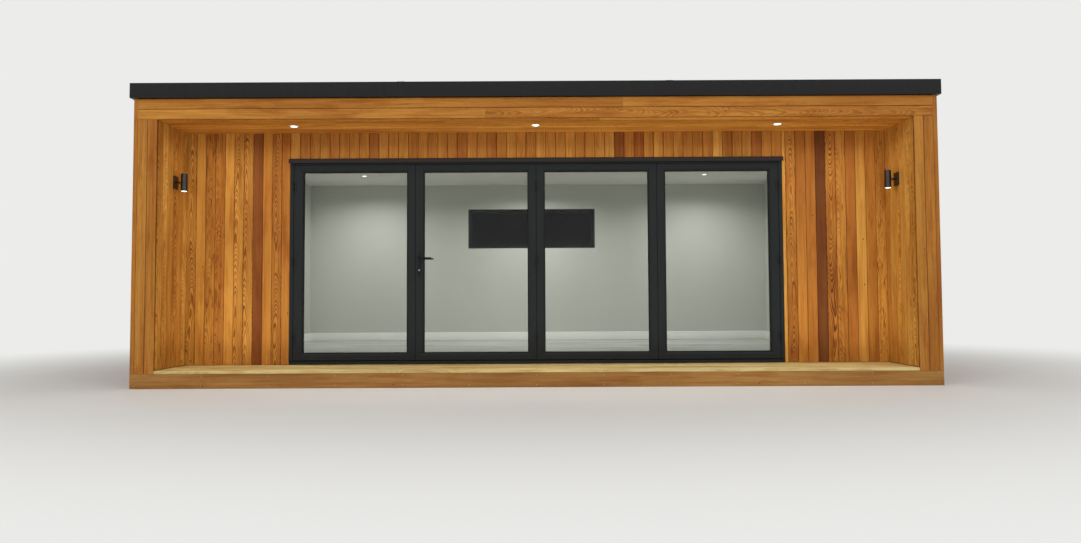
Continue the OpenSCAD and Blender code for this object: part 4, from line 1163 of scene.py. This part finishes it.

# Wall lights. A brushed steel tube on a short arm stands off a slim box on each cheek, with
# a domed frosted lens in both ends that lights the boards above and below.
# Painted shade and painted dark reflection: the tube, arm and box take a steel far darker than the
# satin steel whose slot they share.
shaded_tube_steel = plain_finish("Brushed tube with painted shade", (70, 69, 69), (92, 91, 91), 14.0, (60, 60, 1400),
                          (0.2, 0.36), 0.00006, {"Metallic": 1.0})
lit_lens, tree = new_finish("Lit lens")
frost = noise(tree, object_place(tree), 260.0)
glow = mix(tree, frost, (1.0, 0.93, 0.82, 1), (1.0, 0.97, 0.90, 1))
surface(tree, grey(0.8), 0.4, frost, 0.0001, {"Emission Color": glow, "Emission Strength": 4.0})
cheek_x, lamp_y, lamp_z = cheek_high.x - clad_t, -2.145, 1.997
tube_r, tube_half, tube_axis, tube_in, lens_z, rim = 0.032, 0.0875, 0.092, 0.029, 0.0845, 0.0008
half = [(0, lens_z), (tube_in, lens_z), (tube_in, tube_half - 0.001), (tube_in + rim, tube_half),
        (tube_r - rim, tube_half), (tube_r, tube_half - rim), (tube_r, tube_half - 0.011),
        (tube_r - 0.0007, tube_half - 0.0115), (tube_r, tube_half - 0.012)]
bodies, lenses = bmesh.new(), bmesh.new()
for side in (-1, 1):
    centre = (side * (cheek_x - tube_axis), lamp_y, lamp_z)
    turned(bodies, half + [(r, -z) for r, z in reversed(half)], centre, Z, 48)
    for near, far, wide, high, ease, steps in (
            (0, 0.004, 0.042, 0.065, 0.001, 1), (0.0045, 0.016, 0.041, 0.064, 0.0025, 3),
            (0.015, tube_axis - tube_r + 0.002, 0.010, 0.010, 0.002, 2)):
        block(bodies, (side * (cheek_x - near), lamp_y - wide, lamp_z - high),
              (side * (cheek_x - far), lamp_y + wide, lamp_z + high), ease, steps)
    for way in (-1, 1):
        turned(bodies, mm((0, 0.8), (2.6, 0.8), (3, 0), (3, -2)),
               (side * (cheek_x - 0.010), lamp_y + way * 0.041, lamp_z), Y * way, 12)
        turned(lenses, mm((0, 88.5), (14, 88), (26, 86), (28.5, 84.5), (0, 84.5)), centre,
               Z * way, 32)
weld(bodies)
add_piece("lamp_bodies", bodies, shaded_tube_steel, "satin_steel", "wall_lights")
weld(lenses)
add_piece("lamp_lenses", lenses, lit_lens, "lamp_white")

# Downlights. A white ring with a frosted lens set back in it, clipped into the soffit of the
# porch and into the ceiling.
white_ring = powder_finish("White ring", (230, 229, 226), 0.0)
porch_pitch, porch_y = 2.390, -2.195
room_x, room_pitch, room_rows = -0.045, 2.490, (-0.795, 1.305)
for node, name, places in (
        ("porch_downlights", "porch", [(i * porch_pitch, porch_y) for i in (-1, 0, 1)]),
        ("room_downlights", "room", [(room_x + i * room_pitch, y) for i in (-1, 0, 1)
                                     for y in room_rows])):
    rings, lenses = bmesh.new(), bmesh.new()
    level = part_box(node)[0].z + 0.004
    for x, y in places:
        turned(rings, mm((0, 10), (35, 10), (35, 0), (44, 0), (44, -2.6), (42.8, -3.8), (41.5, -4),
                         (34.5, -4), (32.5, -3.4), (30, -1.2), (0, -1.2)), (x, y, level), Z, 40)
        turned(lenses, mm((0, -3), (16, -2.8), (26, -2.1), (29.8, -1.5), (29.8, -1.2), (0, -1.2)),
               (x, y, level), Z, 32)
    weld(rings)
    add_piece(f"{name}_light_rings", rings, white_ring, "lamp_white", node)
    weld(lenses)
    add_piece(f"{name}_light_lenses", lenses, lit_lens, "lamp_white")

# Studio. A pale floor that fades into a pale backdrop, broad soft lamps in front and above,
# soft light from all sides, and a camera in front of the doors at the height of a table.
pale = srgb(236, 236, 234)


def looked_at(tree):
    """1 for rays that the camera sees, directly or by way of metal or glass, or else 0."""
    rays = put(tree, "LightPath").outputs
    seen = calc(tree, "MAXIMUM", rays["Is Camera Ray"], rays["Is Glossy Ray"])
    return calc(tree, "MAXIMUM", seen, rays["Is Transmission Ray"])


floor_finish, tree = new_finish("Studio floor")
away = put(tree, "VectorMath", {0: stretch(tree, object_place(tree), 0.8, 1, 0)},
           operation="LENGTH").outputs["Value"]
fade = remap(tree, away, 3.6, 7.6, 0, 1, interpolation_type="SMOOTHSTEP")
share = calc(tree, "MULTIPLY", fade, looked_at(tree))
lit = put(tree, "BsdfPrincipled", {"Base Color": srgb(228, 228, 226), "Roughness": 0.9}).outputs[0]
flat = put(tree, "Emission", {"Color": pale, "Strength": 1.0}).outputs[0]
end_blend(tree, share, lit, flat)
bm = bmesh.new()
bmesh.ops.create_circle(bm, cap_ends=True, radius=60.0, segments=64)
new_object("studio_floor", new_mesh("studio_floor", bm, floor_finish))

world = bpy.data.worlds.new("Studio")
bpy.context.scene.world = world
world.use_nodes = True
tree = world.node_tree
tree.nodes.clear()
soft = put(tree, "Background", {"Color": (1.0, 0.99, 0.975, 1), "Strength": 0.45}).outputs[0]
backdrop = put(tree, "Background", {"Color": pale, "Strength": 1.0}).outputs[0]
end_blend(tree, looked_at(tree), soft, backdrop, "OutputWorld")


def lamp(name, place, aim, width, height, power, colour=(1, 1, 1), spread=180):
    """A broad soft lamp that isn't itself seen."""
    light = bpy.data.lights.new(name, "AREA")
    light.shape, light.size, light.size_y = "RECTANGLE", width, height
    light.energy, light.color, light.spread = power, colour, math.radians(spread)
    thing = new_object(name, light)
    thing.location = place
    thing.rotation_euler = (Vector(aim) - Vector(place)).to_track_quat("-Z", "Y").to_euler()
    thing.visible_camera = thing.visible_glossy = thing.visible_transmission = False


warm, amber = (1.0, 0.98, 0.95), (1.0, 0.95, 0.86)
lamp("front_left", (-6.0, -11.0, 6.5), (0, 0, 1.2), 6, 4, 180, warm)
lamp("front_right", (7.5, -9.5, 4.5), (0, 0, 1.2), 5, 4, 110, (1.0, 0.98, 0.96))
lamp("over_porch", (0.0, -6.6, 6.4), (0, -2.4, 0.6), 9, 3, 80, warm)
lamp("front_low", (0.0, -10.5, 1.6), (0, -2.2, 1.4), 12, 3, 70, warm)
lamp("porch_down", (0.0, -2.2, 2.52), (0, -2.2, 0), 6.9, 0.4, 18, amber, 110)
lamp("porch_up", (0.0, -2.2, 0.20), (0, -2.2, 2), 6.9, 0.4, 18, amber, 110)
lamp("rear", (2.0, 11.0, 8.0), (0, 0, 1.0), 8, 5, 420)
for x, power in ((-2.535, 18.4), (-0.045, 22), (2.445, 18.4)):
    lamp("room_soft", (x, 1.18, 2.60), (x, 1.18, 0), 0.7, 0.7, power, spread=158)

camera = bpy.data.cameras.new("camera")
camera.sensor_width, camera.lens, camera.clip_end = 36, 24.51, 300
pitch, yaw, roll = 0.0406, -0.0008, -0.0049
forward = Vector((math.sin(yaw) * math.cos(pitch), math.cos(yaw) * math.cos(pitch),
                  math.sin(pitch)))
right = Vector((math.cos(yaw), -math.sin(yaw), 0))
up = right.cross(forward)
sideways = math.cos(roll) * right + math.sin(roll) * up
upward = math.cos(roll) * up - math.sin(roll) * right
view = new_object("camera", camera)
view.matrix_world = Matrix((sideways, upward, -forward)).transposed().to_4x4()
view.location = (0.047, -9.410, 0.801)
bpy.context.scene.camera = view
bpy.context.scene.view_settings.view_transform = "Standard"
